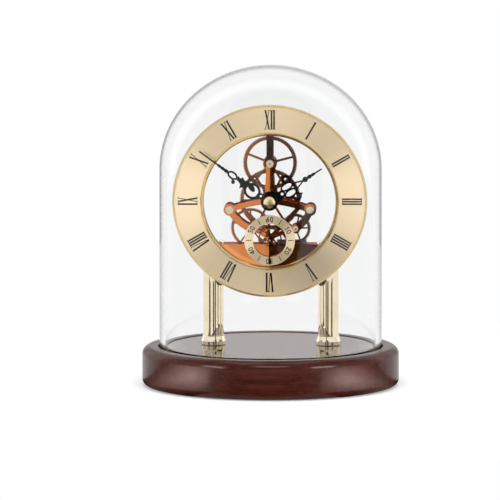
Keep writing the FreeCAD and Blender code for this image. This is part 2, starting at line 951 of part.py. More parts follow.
def serif_bar(middle, height, low, high):
    reach = float(size.numeral_thick_stroke) / 2 + float(size.numeral_serif_reach)
    serif = float(size.numeral_serif_height)
    return slab(
        [
            (middle - reach, height),
            (middle + reach, height),
            (middle + reach, height + serif),
            (middle - reach, height + serif),
        ],
        low,
        high,
    )


def sloping(bottom_x, top_x, width, low, high):
    """A stroke from the foot to the head of a numeral, cut level at both ends."""
    bottom = float(size.numeral_inner_radius)
    top = float(size.numeral_outer_radius)
    half = float(width) / 2
    return slab(
        [(bottom_x - half, bottom), (bottom_x + half, bottom), (top_x + half, top), (top_x - half, top)],
        low,
        high,
    )


def letter_v(middle, low, high):
    half = float(size.numeral_v_width) / 2
    thick = size.numeral_thick_stroke
    thin = size.numeral_thin_stroke
    top = float(size.numeral_outer_radius - size.numeral_serif_height)
    left = middle - half + float(thick) / 2
    right = middle + half - float(thin) / 2
    return joined(
        [
            sloping(middle, left, thick, low, high),
            sloping(middle + float(thin), right, thin, low, high),
            serif_bar(left, top, low, high),
            serif_bar(right, top, low, high),
        ]
    )


def letter_x(middle, low, high):
    half = float(size.numeral_x_width) / 2
    thick = size.numeral_thick_stroke
    thin = size.numeral_thin_stroke
    bottom = float(size.numeral_inner_radius)
    top = float(size.numeral_outer_radius - size.numeral_serif_height)
    left = middle - half + float(thick) / 2
    right = middle + half - float(thick) / 2
    return joined(
        [
            sloping(right, left, thick, low, high),
            sloping(left, right, thin, low, high),
            serif_bar(left, top, low, high),
            serif_bar(right, top, low, high),
            serif_bar(left, bottom, low, high),
            serif_bar(right, bottom, low, high),
        ]
    )


HOURS = ("I", "II", "III", "IIII", "V", "VI", "VII", "VIII", "IX", "X", "XI", "XII")


def hour_numerals():
    low = size.dial_front
    high = low + size.numeral_thickness
    serifs = float(size.numeral_thick_stroke + 2 * size.numeral_serif_reach)
    widths = {
        "I": serifs,
        "V": float(size.numeral_v_width + 2 * size.numeral_serif_reach),
        "X": float(size.numeral_x_width + 2 * size.numeral_serif_reach),
    }
    makers = {"I": letter_i, "V": letter_v, "X": letter_x}
    gap = float(size.numeral_gap)
    letters = []
    for hour, word in enumerate(HOURS, start=1):
        total = sum(widths[c] for c in word) + gap * (len(word) - 1)
        x = -total / 2
        for c in word:
            letters.append(clockwise(makers[c](x + widths[c] / 2, low, high), hour * 30))
            x += widths[c] + gap
    feature("hour_numerals", group(letters))


def digit(character, low, high):
    """A plain figure about its own middle."""
    tall = float(size.digit_height) / 2
    wide = float(size.digit_width) / 2
    stroke = float(size.digit_stroke)
    inner = stroke / 2

    def loop(middle, half_height):
        outer = oval((0, middle), half_height, wide, low, high)
        return outer.cut(oval((0, middle), half_height - stroke, wide - stroke, low, high))

    def keep_part(shape, x_low, x_high, y_low, y_high):
        return shape.common(
            slab([(x_low, y_low), (x_high, y_low), (x_high, y_high), (x_low, y_high)], low, high)
        )

    if character == "0":
        return loop(0, tall)
    if character == "1":
        return joined(
            [
                bar((inner, -tall), (inner, tall), stroke, low, high),
                bar((inner, tall - inner), (-wide + stroke, tall / 2), stroke, low, high),
            ]
        )
    if character == "2":
        bow = keep_part(loop(tall / 2, tall / 2), -wide, wide, tall / 2 - stroke, tall)
        return joined(
            [
                bow,
                bar((wide - inner, tall / 2 - inner), (-wide + inner, -tall + inner), stroke, low, high),
                bar((-wide, -tall + inner), (wide, -tall + inner), stroke, low, high),
            ]
        )
    if character == "3":
        reach = tall / 2 + stroke / 4
        upper = keep_part(loop(tall - reach, reach), -wide / 2, wide, -tall, tall)
        lower = keep_part(loop(-tall + reach, reach), -wide / 2, wide, -tall, tall)
        return joined([upper, lower])
    if character == "4":
        return joined(
            [
                bar((wide / 2, -tall), (wide / 2, tall), stroke, low, high),
                bar((wide / 2, tall - inner), (-wide + inner, -tall / 3), stroke, low, high),
                bar((-wide, -tall / 3), (wide, -tall / 3), stroke, low, high),
            ]
        )
    if character == "5":
        reach = tall / 2 + stroke / 2
        bow = keep_part(loop(-tall + reach, reach), -wide / 2, wide, -tall, tall)
        return joined(
            [
                bow,
                bar((-wide / 2, stroke / 2), (-wide / 2, tall), stroke, low, high),
                bar((-wide / 2, tall - inner), (wide - inner, tall - inner), stroke, low, high),
            ]
        )
    reach = tall / 2 + stroke / 2
    return joined(
        [
            loop(-tall + reach, reach),
            bar((-wide + inner * 2, -tall + reach), (wide / 2, tall), stroke, low, high),
        ]
    )


def seconds_dial():
    keep(
        "seconds_ring",
        ring_body(
            "seconds_ring",
            size.seconds_radius,
            size.seconds_opening_radius,
            seconds_back,
            seconds_front,
            (0, -size.seconds_drop),
        ),
    )
    low = seconds_front
    high = low + size.digit_thickness
    middle = float(size.seconds_radius + size.seconds_opening_radius) / 2
    marks = []
    for number, word in enumerate(("60", "10", "20", "30", "40", "50")):
        pitch = float(size.digit_width + size.digit_gap)
        for place, character in enumerate(word):
            figure = digit(character, low, high)
            figure.translate(V(pitch * (place - 0.5), middle, 0))
            marks.append(clockwise(figure, number * 60))
        reach = float(size.tick_length) / 2
        tick = bar((0, middle - reach), (0, middle + reach), float(size.tick_width), low, high)
        marks.append(clockwise(tick, number * 60 + 30))
    feature("seconds_numerals", group(marks), seconds_at)

    posts = [
        disc(size.seconds_post_radius, dial_back, seconds_back, polar(size.yoke_radius, angle, seconds_at))
        for angle in SECONDS_POST_ANGLES
    ]
    feature("seconds_ring_posts", group(posts))


def carrier():
    """A black ring behind the dial, open below where the motor case stands."""
    shape = ring(size.carrier_radius, size.carrier_opening_radius, flats, carrier_front)
    half = float(case_half_width + size.screw_play)
    reach = float(size.carrier_radius + size.overrun)
    mouth = slab([(-half, -reach), (half, -reach), (half, 0), (-half, 0)], flats, carrier_front)
    holes = []
    heads = []
    posts = []
    for place in pillar_places:
        for drop in (size.carrier_screw_upper_drop, size.carrier_screw_lower_drop):
            at = (float(place[0]), -float(drop))
            holes.append(disc(size.carrier_screw_radius + size.screw_play, flats, carrier_front, at))
            head = disc(
                size.carrier_screw_head_radius,
                carrier_front,
                carrier_front + size.carrier_screw_head_height,
                at,
            )
            shank = disc(size.carrier_screw_radius, flats - size.carrier_screw_grip, carrier_front, at)
            slot_half = float(size.carrier_screw_head_radius + size.overrun)
            slot = bar(
                (at[0] - slot_half, at[1]),
                (at[0] + slot_half, at[1]),
                float(size.screw_slot_width),
                carrier_front + size.carrier_screw_head_height / 2,
                carrier_front + size.carrier_screw_head_height,
            )
            heads.append(joined([head, shank]).cut(slot))
    for angle in DIAL_POST_ANGLES:
        at = polar(size.dial_post_circle, angle)
        posts.append(disc(size.dial_post_radius, carrier_front, dial_back, at))
    tongue_screw = (0.0, float(size.bridge_tongue_screw_radius))
    holes.append(disc(size.bridge_screw_radius + size.thread_play, flats, carrier_front, tongue_screw))
    feature("carrier_ring", without(shape, [mouth] + holes))
    feature("carrier_screws", group(heads))
    feature("dial_posts", group(posts))


def arc_bar(start, end, rise, width, low, high):
    """A curved bar of even width between two points, bowed to the left of the way it runs."""
    chord = V(end[0] - start[0], end[1] - start[1], 0)
    middle = V((start[0] + end[0]) / 2, (start[1] + end[1]) / 2, 0)
    normal = V(-chord.y, chord.x, 0)
    normal.normalize()
    radius = (chord.Length**2 / 4 + rise**2) / (2 * rise)
    centre = middle - normal * (radius - rise)
    band = ring(radius + width / 2, radius - width / 2, low, high, (centre.x, centre.y))
    far = radius + width
    first = V(start[0] - centre.x, start[1] - centre.y, 0).normalize()
    second = V(end[0] - centre.x, end[1] - centre.y, 0).normalize()
    wedge = slab(
        [
            (centre.x, centre.y),
            (centre.x + first.x * 2 * far, centre.y + first.y * 2 * far),
            (centre.x + normal.x * 2 * far, centre.y + normal.y * 2 * far),
            (centre.x + second.x * 2 * far, centre.y + second.y * 2 * far),
        ],
        low,
        high,
    )
    return band.common(wedge)


def bridge_frame(low, high):
    """The outline that both bridges share: upright, hub, arched arms, wings and legs."""
    tongue = float(size.bridge_tongue_radius - size.bridge_bar_width / 2)
    width = float(size.bridge_bar_width)
    shapes = [
        bar((0, 0), (0, tongue), width, low, high),
        disc(size.bridge_bar_width / 2, low, high, (0, tongue)),
        disc(size.bridge_boss_radius, low, high, upper_at),
        bar(
            (0, float(size.bridge_flare_height)),
            upper_at,
            float(size.bridge_flare_width),
            low,
            high,
            width,
        ),
        disc(size.bridge_hub_radius, low, high),
    ]
    leg_ends = (third_at, intermediate_at)
    for wing, leg_end, left in zip(wings_at, leg_ends, (True, False)):
        arm = (wing, (0, 0)) if left else ((0, 0), wing)
        leg = (leg_end, wing) if left else (wing, leg_end)
        shapes.append(arc_bar(*arm, float(size.arm_rise), float(size.arm_width), low, high))
        shapes.append(disc(size.wing_boss_radius, low, high, wing))
        shapes.append(arc_bar(*leg, float(size.leg_bow), float(size.leg_width), low, high))
        shapes.append(disc(size.leg_end_radius, low, high, leg_end))
    return shapes


def bridges():
    front_low = front_bridge_back
    front_high = dial_back
    yoke_outer = size.yoke_radius + size.yoke_width / 2
    yoke_inner = size.yoke_radius - size.yoke_width / 2
    shapes = bridge_frame(front_low, front_high)
    yoke = ring(yoke_outer, yoke_inner, front_low, front_high, seconds_at)
    foot = -float(size.cover_top_drop - size.cover_top_gap)
    reach = float(size.seconds_radius)
    below = slab(
        [(-reach, foot), (reach, foot), (reach, foot - 3 * reach), (-reach, foot - 3 * reach)],
        front_low,
        front_high,
    )
    shapes.append(yoke.cut(below))
    shapes.append(disc(size.seconds_cock_radius, front_low, front_high, seconds_at))
    for angle in YOKE_ARM_ANGLES:
        shapes.append(
            bar(
                seconds_at,
                polar(size.yoke_radius, angle, seconds_at),
                float(size.yoke_arm_width),
                front_low,
                front_high,
            )
        )
    front = joined(shapes)
    screw_hole = size.bridge_screw_radius + size.screw_play
    tongue_screw = (0.0, float(size.bridge_tongue_screw_radius))
    holes = [disc(size.centre_bush_radius, front_low, front_high)]
    holes.append(disc(size.bush_show_radius, front_low, front_high, upper_at))
    holes.append(disc(size.leg_bush_radius, front_low, front_high, intermediate_at))
    holes.append(disc(size.bush_radius, front_low, front_high, seconds_at))
    holes += [disc(screw_hole, front_low, front_high, p) for p in wings_at]
    holes.append(disc(screw_hole, front_low, front_high, tongue_screw))
    holes.append(disc(size.stud_radius, front_low, front_high, motion_at))
    feature("front_bridge", without(front, holes))

    rear_low = carrier_front
    rear_high = rear_bridge_front
    shapes = bridge_frame(rear_low, rear_high)
    shapes.append(disc(size.leg_end_radius, rear_low, rear_high, seconds_at))
    for leg_end in (third_at, intermediate_at):
        shapes.append(bar(seconds_at, leg_end, float(size.rear_strut_width), rear_low, rear_high))
    for wing in wings_at:
        start = (wing[0] * REAR_STRUT_SHARE, wing[1] * REAR_STRUT_SHARE)
        shapes.append(bar(start, seconds_at, float(size.rear_strut_width), rear_low, rear_high))
    rear = joined(shapes)
    holes = [disc(size.bush_radius, rear_low, rear_high, p) for p in (upper_at, intermediate_at, seconds_at)]
    holes.append(disc(size.centre_bush_radius, rear_low, rear_high))
    holes.append(disc(size.third_stud_radius, rear_low, rear_high, third_at))
    holes += [disc(screw_hole, rear_low, rear_high, p) for p in wings_at]
    holes.append(disc(screw_hole, rear_low, rear_high, tongue_screw))
    feature("rear_bridge", without(rear, holes))

    post_hole = size.bridge_screw_radius + size.thread_play
    posts = []
    for wing in wings_at:
        post = disc(size.bridge_post_radius, rear_high, front_low, wing)
        bores = [
            disc(post_hole, front_low - size.bridge_screw_grip - size.overrun, front_low, wing),
            disc(post_hole, rear_high, rear_high + size.bridge_screw_grip + size.overrun, wing),
        ]
        posts.append(without(post, bores))
    feature("bridge_posts", group(posts))

    screws = []
    for wing in wings_at:
        screws.append(slotted_screw(wing, front_high, 1, size.bridge_thickness + size.bridge_screw_grip))
        screws.append(slotted_screw(wing, rear_low, -1, size.bridge_thickness + size.bridge_screw_grip))
    screws.append(slotted_screw(tongue_screw, front_low, -1, size.bridge_thickness + size.dial_thickness / 2))
    screws.append(slotted_screw(tongue_screw, rear_high, 1, size.bridge_thickness + size.carrier_thickness))
    feature("bridge_screws", group(screws))


def slotted_screw(at, seat, facing, reach):
    """A screw whose head lies on its seat, facing the reader (1) or the back (-1)."""
    shapes = []
    head = size.bridge_screw_head_height
    if facing > 0:
        shapes.append(disc(size.bridge_screw_head_radius, seat, seat + head, at))
        shapes.append(disc(size.bridge_screw_radius, seat - reach, seat, at))
        slot_low, slot_high = seat + head / 2, seat + head
    else:
        shapes.append(disc(size.bridge_screw_head_radius, seat - head, seat, at))
        shapes.append(disc(size.bridge_screw_radius, seat, seat + reach, at))
        slot_low, slot_high = seat - head, seat - head / 2
    half = float(size.bridge_screw_head_radius)
    width = float(size.screw_slot_width)
    slot = bar((at[0] - half, at[1]), (at[0] + half, at[1]), width, slot_low, slot_high)
    return joined(shapes).cut(slot)


def bushes():
    gap = size.running_gap
    front_low, front_high = front_bridge_back, dial_back
    front = [
        ring(size.bush_show_radius, size.arbor_radius + gap, front_low, front_high, upper_at),
        ring(size.leg_bush_radius, size.arbor_radius + gap, front_low, front_high, intermediate_at),
        ring(size.bush_radius, size.arbor_radius + gap, front_low, front_high, seconds_at),
        ring(size.centre_bush_radius, hour_pipe_radius + gap, front_low, front_high),
    ]
    rear_low, rear_high = carrier_front, rear_bridge_front
    rear = [
        ring(size.bush_radius, size.arbor_radius + gap, rear_low, rear_high, place)
        for place in (upper_at, intermediate_at, seconds_at)
    ]
    rear.append(ring(size.centre_bush_radius, size.centre_arbor_radius + gap, rear_low, rear_high))
    feature("pivot_bushes", group(front + rear))


cannon_bore = size.centre_arbor_radius
cannon_pipe_radius = cannon_bore + size.cannon_pipe_wall
hour_pipe_bore = cannon_pipe_radius + size.running_gap
hour_pipe_radius = hour_pipe_bore + size.hour_pipe_wall


def centre_group():
    low = layer(0)
    train_wheel(
        "centre_wheel",
        CENTRE_TEETH,
        size.going_module,
        centre_phase,
        low,
        size.wheel_rim_width,
        6,
        float(size.spoke_width),
        63,
        (0, 0),
        size.centre_arbor_radius,
    )
    rear_end = carrier_front - size.knob_gap - size.knob_length
    keep(
        "centre_arbor",
        cylinder("centre_arbor", size.centre_arbor_radius, rear_end, minute_hand_front + size.nut_height / 2),
    )
    low = pinion_low(2)
    high = low + size.pinion_length
    leaves = toothed(CANNON_TEETH, size.cannon_module, cannon_phase, PINION_TOOTH_SHARES, low, high)
    pipe = disc(cannon_pipe_radius, low, minute_hand_front)
    bore = disc(cannon_bore, low, minute_hand_front)
    feature("cannon_pinion", joined([leaves, pipe]).cut(bore))
    corners = [
        (size.centre_arbor_radius, 0),
        (size.nut_radius, 0),
        (size.nut_radius, size.nut_edge),
        (size.nut_radius - size.nut_edge / 2, size.nut_edge * 2),
        *[(size.nut_radius * across, size.nut_height * up) for across, up in NUT_CROWN_SHARES],
        (0, size.nut_height),
        (0, size.nut_height / 2),
        (size.centre_arbor_radius, size.nut_height / 2),
    ]
    keep("hand_nut", turned("hand_nut", corners, (0, 0, minute_hand_front)))

    low = carrier_front - size.knob_gap - size.knob_length
    high = low + size.knob_length
    knob = disc(size.knob_radius, low, high)
    notches = [
        disc(size.knob_notch_radius, low, high, polar(size.knob_radius, k * 360 / KNOB_NOTCHES))
        for k in range(KNOB_NOTCHES)
    ]
    bore = disc(size.centre_arbor_radius, low, high)
    feature("setting_knob", without(knob, notches + [bore]))


def hour_group():
    low = layer(3)
    high = low + size.wheel_thickness
    blank = toothed(HOUR_TEETH, hour_module, hour_phase, WHEEL_TOOTH_SHARES, low, high)
    pipe = disc(hour_pipe_radius, low, hour_hand_back + size.hand_thickness)
    shape = joined([blank, pipe]).cut(disc(hour_pipe_bore, low, hour_hand_back + size.hand_thickness))
    feature("hour_wheel", shape)


def motion_group():
    """The wheel and pinion between cannon and hour wheel, on a stud of the front bridge."""
    wheel_low = layer(2)
    wheel_high = wheel_low + size.wheel_thickness
    pinion_high = layer(3) + size.wheel_thickness
    bore = size.stud_radius + size.running_gap
    shape = joined(
        [
            toothed(
                MOTION_TEETH,
                size.cannon_module,
                motion_phase,
                WHEEL_TOOTH_SHARES,
                wheel_low,
                wheel_high,
            ),
            toothed(
                MOTION_PINION_TEETH,
                hour_module,
                motion_pinion_phase,
                PINION_TOOTH_SHARES,
                wheel_high,
                pinion_high,
            ),
        ]
    ).cut(disc(bore, wheel_low, pinion_high))
    feature("motion_wheel", shape, motion_at)
    stud = joined(
        [
            disc(size.stud_radius, wheel_low - size.running_gap, dial_back, motion_at),
            disc(
                size.stud_head_radius,
                wheel_low - size.running_gap - size.stud_head_height,
                wheel_low - size.running_gap,
                motion_at,
            ),
        ]
    )
    return stud


def upper_group():
    train_wheel(
        "upper_wheel",
        UPPER_TEETH,
        size.going_module,
        0.0,
        layer(1),
        size.wheel_rim_width,
        5,
        float(size.spoke_width),
        14.6,
        upper_at,
        size.arbor_radius,
    )
    arbor(
        "upper_arbor",
        size.arbor_radius,
        carrier_front,
        dial_back,
        size.going_module,
        UPPER_PINION_TEETH,
        upper_pinion_phase,
        pinion_low(0),
        upper_at,
    )


def third_group():
    """The third wheel and its pinion turn on a stud of the rear bridge."""
    bore = size.third_stud_radius + size.running_gap
    tube = bore + size.cannon_pipe_wall
    low = pinion_low(0)
    high = layer(1) + size.wheel_thickness + size.collet_height / 4
    pinion_top = low + size.pinion_length
    shape = joined(
        [
            toothed(
                THIRD_PINION_TEETH,
                size.going_module,
                third_pinion_phase,
                PINION_TOOTH_SHARES,
                low,
                pinion_top,
            ),
            disc(tube, low, high),
        ]
    ).cut(disc(bore, low, high))
    feature("third_pinion", shape, third_at)
    train_wheel(
        "third_wheel",
        THIRD_TEETH,
        size.third_module,
        third_phase,
        layer(1),
        size.small_rim_width,
        5,
        float(size.small_spoke_width),
        235,
        third_at,
        tube,
    )
    stud = joined(
        [
            disc(size.third_stud_radius, carrier_front, high + size.running_gap, third_at),
            disc(
                size.third_stud_radius + size.stud_head_height,
                rear_bridge_front,
                low - size.running_gap,
                third_at,
            ),
            disc(
                size.third_stud_radius + size.stud_head_height,
                high + size.running_gap,
                high + size.running_gap + size.stud_head_height,
                third_at,
            ),
        ]
    )
    return stud


def seconds_group():
    low = layer(3)
    high = low + size.wheel_thickness
    blank = toothed(SECONDS_TEETH, size.seconds_module, seconds_phase, WHEEL_TOOTH_SHARES, low, high)
    inside = root_radius(size.seconds_module, SECONDS_TEETH) - size.small_rim_width
    ring_outer = size.seconds_wheel_ring_radius
    ring_inner = ring_outer - size.small_spoke_width
    shape = spoked(blank, inside, ring_outer, 3, float(size.small_spoke_width), 30, low, high)
    window = ring(ring_inner, size.collet_radius, low, high)
    arms = []
    for k in range(5):
        tip = polar(float(ring_outer), k * 72 + 90)
        rise = float(ring_outer) * SECONDS_ARM_RISE_SHARE
        arm = arc_bar((0, 0), (float(ring_outer), 0), rise, float(size.small_spoke_width), low, high)
        arms.append(clockwise(arm, -math.degrees(math.atan2(tip[1], tip[0]))))
    shape = shape.cut(window.cut(joined(arms)))
    shape = joined([shape, disc(size.collet_radius, low, low + size.collet_height)])
    shape = shape.cut(disc(size.arbor_radius, low, low + size.collet_height))
    feature("seconds_wheel", shape, seconds_at)
    arbor(
        "seconds_arbor",
        size.arbor_radius,
        carrier_front,
        seconds_hand_back + size.seconds_hand_thickness,
        size.third_module,
        SECONDS_PINION_TEETH,
        seconds_pinion_phase,
        pinion_low(1),
        seconds_at,
    )


def intermediate_group():
    train_wheel(
        "intermediate_wheel",
        INTERMEDIATE_TEETH,
        size.rotor_module,
        intermediate_phase,
        layer(2),
        size.small_rim_width,
        5,
        float(size.small_spoke_width),
        3,
        intermediate_at,
        size.arbor_radius,
    )
    arbor(
        "intermediate_arbor",
        size.arbor_radius,
        carrier_front,
        dial_back,
        size.seconds_module,
        INTERMEDIATE_PINION_TEETH,
        intermediate_pinion_phase,
        pinion_low(3),
        intermediate_at,
    )


def tapered(start, end, start_width, end_width, low, high):
    return bar(start, end, float(start_width), low, high, float(end_width))


# the ornaments of the hour hand, as shares of its length: (along, across, half length, half width)
HOUR_OVAL_SHARES = (0.372, 0.062, 0.086, 0.040)
HOUR_SIDE_RING_SHARES = (0.428, 0.161, 0.075, 0.037)
HOUR_BARB_SHARES = ((0.475, 0.120), (0.545, 0.163), (0.455, 0.200))
HOUR_FORK_SHARES = ((0.470, 0.062), (0.650, 0.0))
HOUR_BEAD_SHARES = ((0.683, 0.044, 0.044), (0.765, 0.044, 0.031), (0.833, 0.038, 0.024))
HOUR_NECK_SHARES = ((0.120, 0.072), (0.192, 0.090), (0.212, 0.060), (0.247, 0.066), (0.295, 0.030))
HOUR_NECK_HOLE_SHARES = (0.243, 0.024)


def hour_hand():
    length = float(size.hour_hand_length)
    low = hour_hand_back
    high = low + size.hand_thickness
    line = float(size.hand_line)
    along, across, half_length, half_width = [length * n for n in HOUR_OVAL_SHARES]
    ring_along, ring_across, ring_outer, ring_inner = [length * n for n in HOUR_SIDE_RING_SHARES]
    shapes = [disc(size.hand_hub_radius, low, high)]
    holes = [disc(length * HOUR_NECK_HOLE_SHARES[1], low, high, (0, length * HOUR_NECK_HOLE_SHARES[0]))]
    right = [(length * half, length * y) for y, half in HOUR_NECK_SHARES]
    left = [(-x, y) for x, y in reversed(right)]
    shapes.append(slab(right + left, low, high))
    for side in (-1, 1):
        centre = (side * across, along)
        shapes.append(oval(centre, half_length + line, half_width + line, low, high))
        holes.append(oval(centre, half_length, half_width, low, high))
        curl = (side * ring_across, ring_along)
        shapes.append(disc(ring_outer, low, high, curl))
        holes.append(disc(ring_inner, low, high, curl))
        shapes.append(slab([(side * length * x, length * y) for y, x in HOUR_BARB_SHARES], low, high))
        fork = [(side * length * x, length * y) for y, x in HOUR_FORK_SHARES]
        shapes.append(bar(fork[0], fork[1], line * HOUR_FORK_LINE_SHARE, low, high))
    for middle, half, wide in HOUR_BEAD_SHARES:
        shapes.append(oval((0, length * middle), length * half, length * wide, low, high))
    shapes.append(
        tapered((0, length * HOUR_FORK_SHARES[1][0]), (0, length), line, size.hand_tip_width, low, high)
    )
    holes.append(disc(hour_pipe_radius, low, high))
    shape = without(joined(shapes), holes)
    feature("hour_hand", shape, clockwise_turn=HOUR_HAND_ANGLE)


# the ornaments of the minute hand, as shares of its length: (along, across, ...), right side positive
MINUTE_NECK_SHARES = ((0.080, 0.036), (0.170, 0.030))
MINUTE_NECK_HOLE_SHARES = (0.122, 0.014)
MINUTE_RING_SHARES = (0.238, -0.010, 0.100, 0.092)
MINUTE_LEAF_SHARES = (0.272, 0.018, 0.062, 0.031)
MINUTE_CROWN_SHARES = (
    (0.318, 0.030),
    (0.352, 0.058),
    (0.372, 0.034),
    (0.386, 0.042),
    (0.420, 0.052),
    (0.432, 0.026),
    (0.462, 0.036),
    (0.475, 0.012),
    (0.475, -0.012),
    (0.425, -0.018),
    (0.395, -0.030),
    (0.376, -0.078),
    (0.362, -0.048),
    (0.318, -0.036),
)
MINUTE_DROP_SHARES = (0.527, 0.002, 0.046, 0.023)
MINUTE_CURL_SHARES = ((0.500, -0.036), (0.478, -0.056), 0.022)
MINUTE_BEAD_SHARES = ((0.618, 0.034, 0.020), (0.668, 0.032, 0.018), (0.714, 0.030, 0.016))


def minute_hand():
    length = float(size.minute_hand_length)
    low = minute_hand_back
    high = low + size.hand_thickness
    line = float(size.hand_line)
    hub = size.hand_hub_radius
    shapes = [disc(hub, low, high)]
    neck_low, neck_high = [(length * y, length * half) for y, half in MINUTE_NECK_SHARES]
    shapes.append(tapered((0, neck_low[0]), (0, neck_high[0]), 2 * neck_low[1], 2 * neck_high[1], low, high))
    holes = [disc(length * MINUTE_NECK_HOLE_SHARES[1], low, high, (0, length * MINUTE_NECK_HOLE_SHARES[0]))]
    ring_along, ring_across, ring_long, ring_wide = [length * n for n in MINUTE_RING_SHARES]
    ring_at = (ring_across, ring_along)
    loop = oval(ring_at, ring_long, ring_wide, low, high)
    ring_line = line * MINUTE_RING_LINE_SHARE
    loop = loop.cut(oval(ring_at, ring_long - ring_line, ring_wide - ring_line, low, high))
    leaf_along, leaf_across, leaf_long, leaf_wide = [length * n for n in MINUTE_LEAF_SHARES]
    shapes.append(oval((leaf_across, leaf_along), leaf_long, leaf_wide, low, high, 20))
    shapes.append(slab([(length * x, length * y) for y, x in MINUTE_CROWN_SHARES], low, high))
    drop_along, drop_across, drop_long, drop_wide = [length * n for n in MINUTE_DROP_SHARES]
    drop_at = (drop_across, drop_along)
    shapes.append(oval(drop_at, drop_long + line, drop_wide + line, low, high))
    holes.append(oval(drop_at, drop_long, drop_wide, low, high))
    curl_start, curl_end, curl_radius = MINUTE_CURL_SHARES
    start = (length * curl_start[1], length * curl_start[0])
    end = (length * curl_end[1], length * curl_end[0])
    shapes.append(bar(start, end, line, low, high))
    shapes.append(disc(length * curl_radius, low, high, end))
    for middle, half, wide in MINUTE_BEAD_SHARES:
        shapes.append(oval((0, length * middle), length * half, length * wide, low, high))
    tip_start = (0, length * (MINUTE_DROP_SHARES[0] + MINUTE_DROP_SHARES[2]))
    shapes.append(tapered(tip_start, (0, length), line, size.hand_tip_width, low, high))
    solid_parts = without(joined(shapes), holes)
    shape = joined([solid_parts, loop]).cut(disc(cannon_pipe_radius, low, high))
    feature("minute_hand", shape, clockwise_turn=MINUTE_HAND_ANGLE)


def seconds_hand():
    low = seconds_hand_back
    high = low + size.seconds_hand_thickness
    tail = float(size.seconds_hand_tail)
    length = float(size.seconds_hand_length)
    width = float(size.seconds_hand_width)
    shapes = [
        disc(size.seconds_hand_hub_radius, low, high),
        bar((0, -tail), (0, length), width, low, high),
    ]
    shape = joined(shapes).cut(disc(size.arbor_radius, low, high))
    feature("seconds_hand", shape, seconds_at, clockwise_turn=SECONDS_HAND_ANGLE)


case_front = dial_back - size.cover_thickness
partition_front = case_front - size.case_front_room
bay_front = partition_front - size.case_partition
case_back = bay_front - size.battery_depth_room
bay_half_width = case_half_width - size.case_wall
bay_half_height = size.battery_radius + size.battery_play
battery_at = (-size.battery_drop, bay_front - size.battery_play - size.battery_radius)
boss_inset = size.case_boss_radius + size.case_wall / 2
boss_places = [
    (side * size.case_screw_spread, -size.case_bottom_drop + boss_inset) for side in (-1, 1)
]
stator_low = partition_front + size.stator_lift
stator_high = stator_low + size.stator_thickness
stator_left = rotor_at[0] - size.stator_left_reach
stator_right = rotor_at[0] + size.stator_right_reach
stator_legs = (stator_left + size.stator_leg_width / 2, stator_right - size.stator_leg_width / 2)
case_top = -size.cover_top_drop - size.cover_shelf_thickness
board_left = -bay_half_width + size.board_edge_gap
board_pegs = [
    (board_left + size.board_edge_gap * 2, -size.board_drop - size.board_height / 2),
    (board_left + size.board_width - size.board_edge_gap * 2, -size.board_drop - size.board_height / 2),
]


def slot_for(wheel_at, tip, low, high):
    """The room that a wheel needs where it dips through the cover's shelf."""
    gap = float(size.cover_slot_gap)
    depth = abs(wheel_at[1] + float(size.cover_top_drop))
    half = math.sqrt(float(tip) ** 2 - depth**2) + gap
    top = -float(size.cover_top_drop) + float(size.overrun)
    bottom = float(case_top) - float(size.overrun)
    corners = [
        (wheel_at[0] - half, bottom),
        (wheel_at[0] + half, bottom),
        (wheel_at[0] + half, top),
        (wheel_at[0] - half, top),
    ]
    return slab(corners, low - gap, high + gap)


def cover_shelf():
    """The cover's bent top edge, which lies on the case and is slotted for the wheels."""
    half = math.sqrt(float(size.cover_radius) ** 2 - float(size.cover_top_drop) ** 2)
    reach = min(half, float(case_half_width))
    top = -float(size.cover_top_drop)
    corners = [(-reach, float(case_top)), (reach, float(case_top)), (reach, top), (-reach, top)]
    shelf = slab(corners, bay_front, case_front)
    thick = size.collet_height
    slots = [
        slot_for(third_at, tip_radius(size.third_module, THIRD_TEETH), layer(1), layer(1) + thick),
        slot_for(seconds_at, tip_radius(size.seconds_module, SECONDS_TEETH), layer(3), layer(3) + thick),
        slot_for(
            intermediate_at, tip_radius(size.rotor_module, INTERMEDIATE_TEETH), layer(2), layer(2) + thick
        ),
    ]
    magnet_low = partition_front + size.magnet_lift
    gap = float(size.cover_slot_gap)
    left, right = float(stator_left) - gap, float(stator_right) + gap
    below = float(case_top - size.overrun)
    above = top + float(size.overrun)
    motor_room = slab(
        [(left, below), (right, below), (right, above), (left, above)],
        magnet_low - gap,
        pinion_low(2) + size.pinion_length + gap,
    )
    arbor_room = disc(size.arbor_radius + gap, partition_front - size.case_partition, case_front, rotor_at)
    return without(shelf, slots + [motor_room, arbor_room])


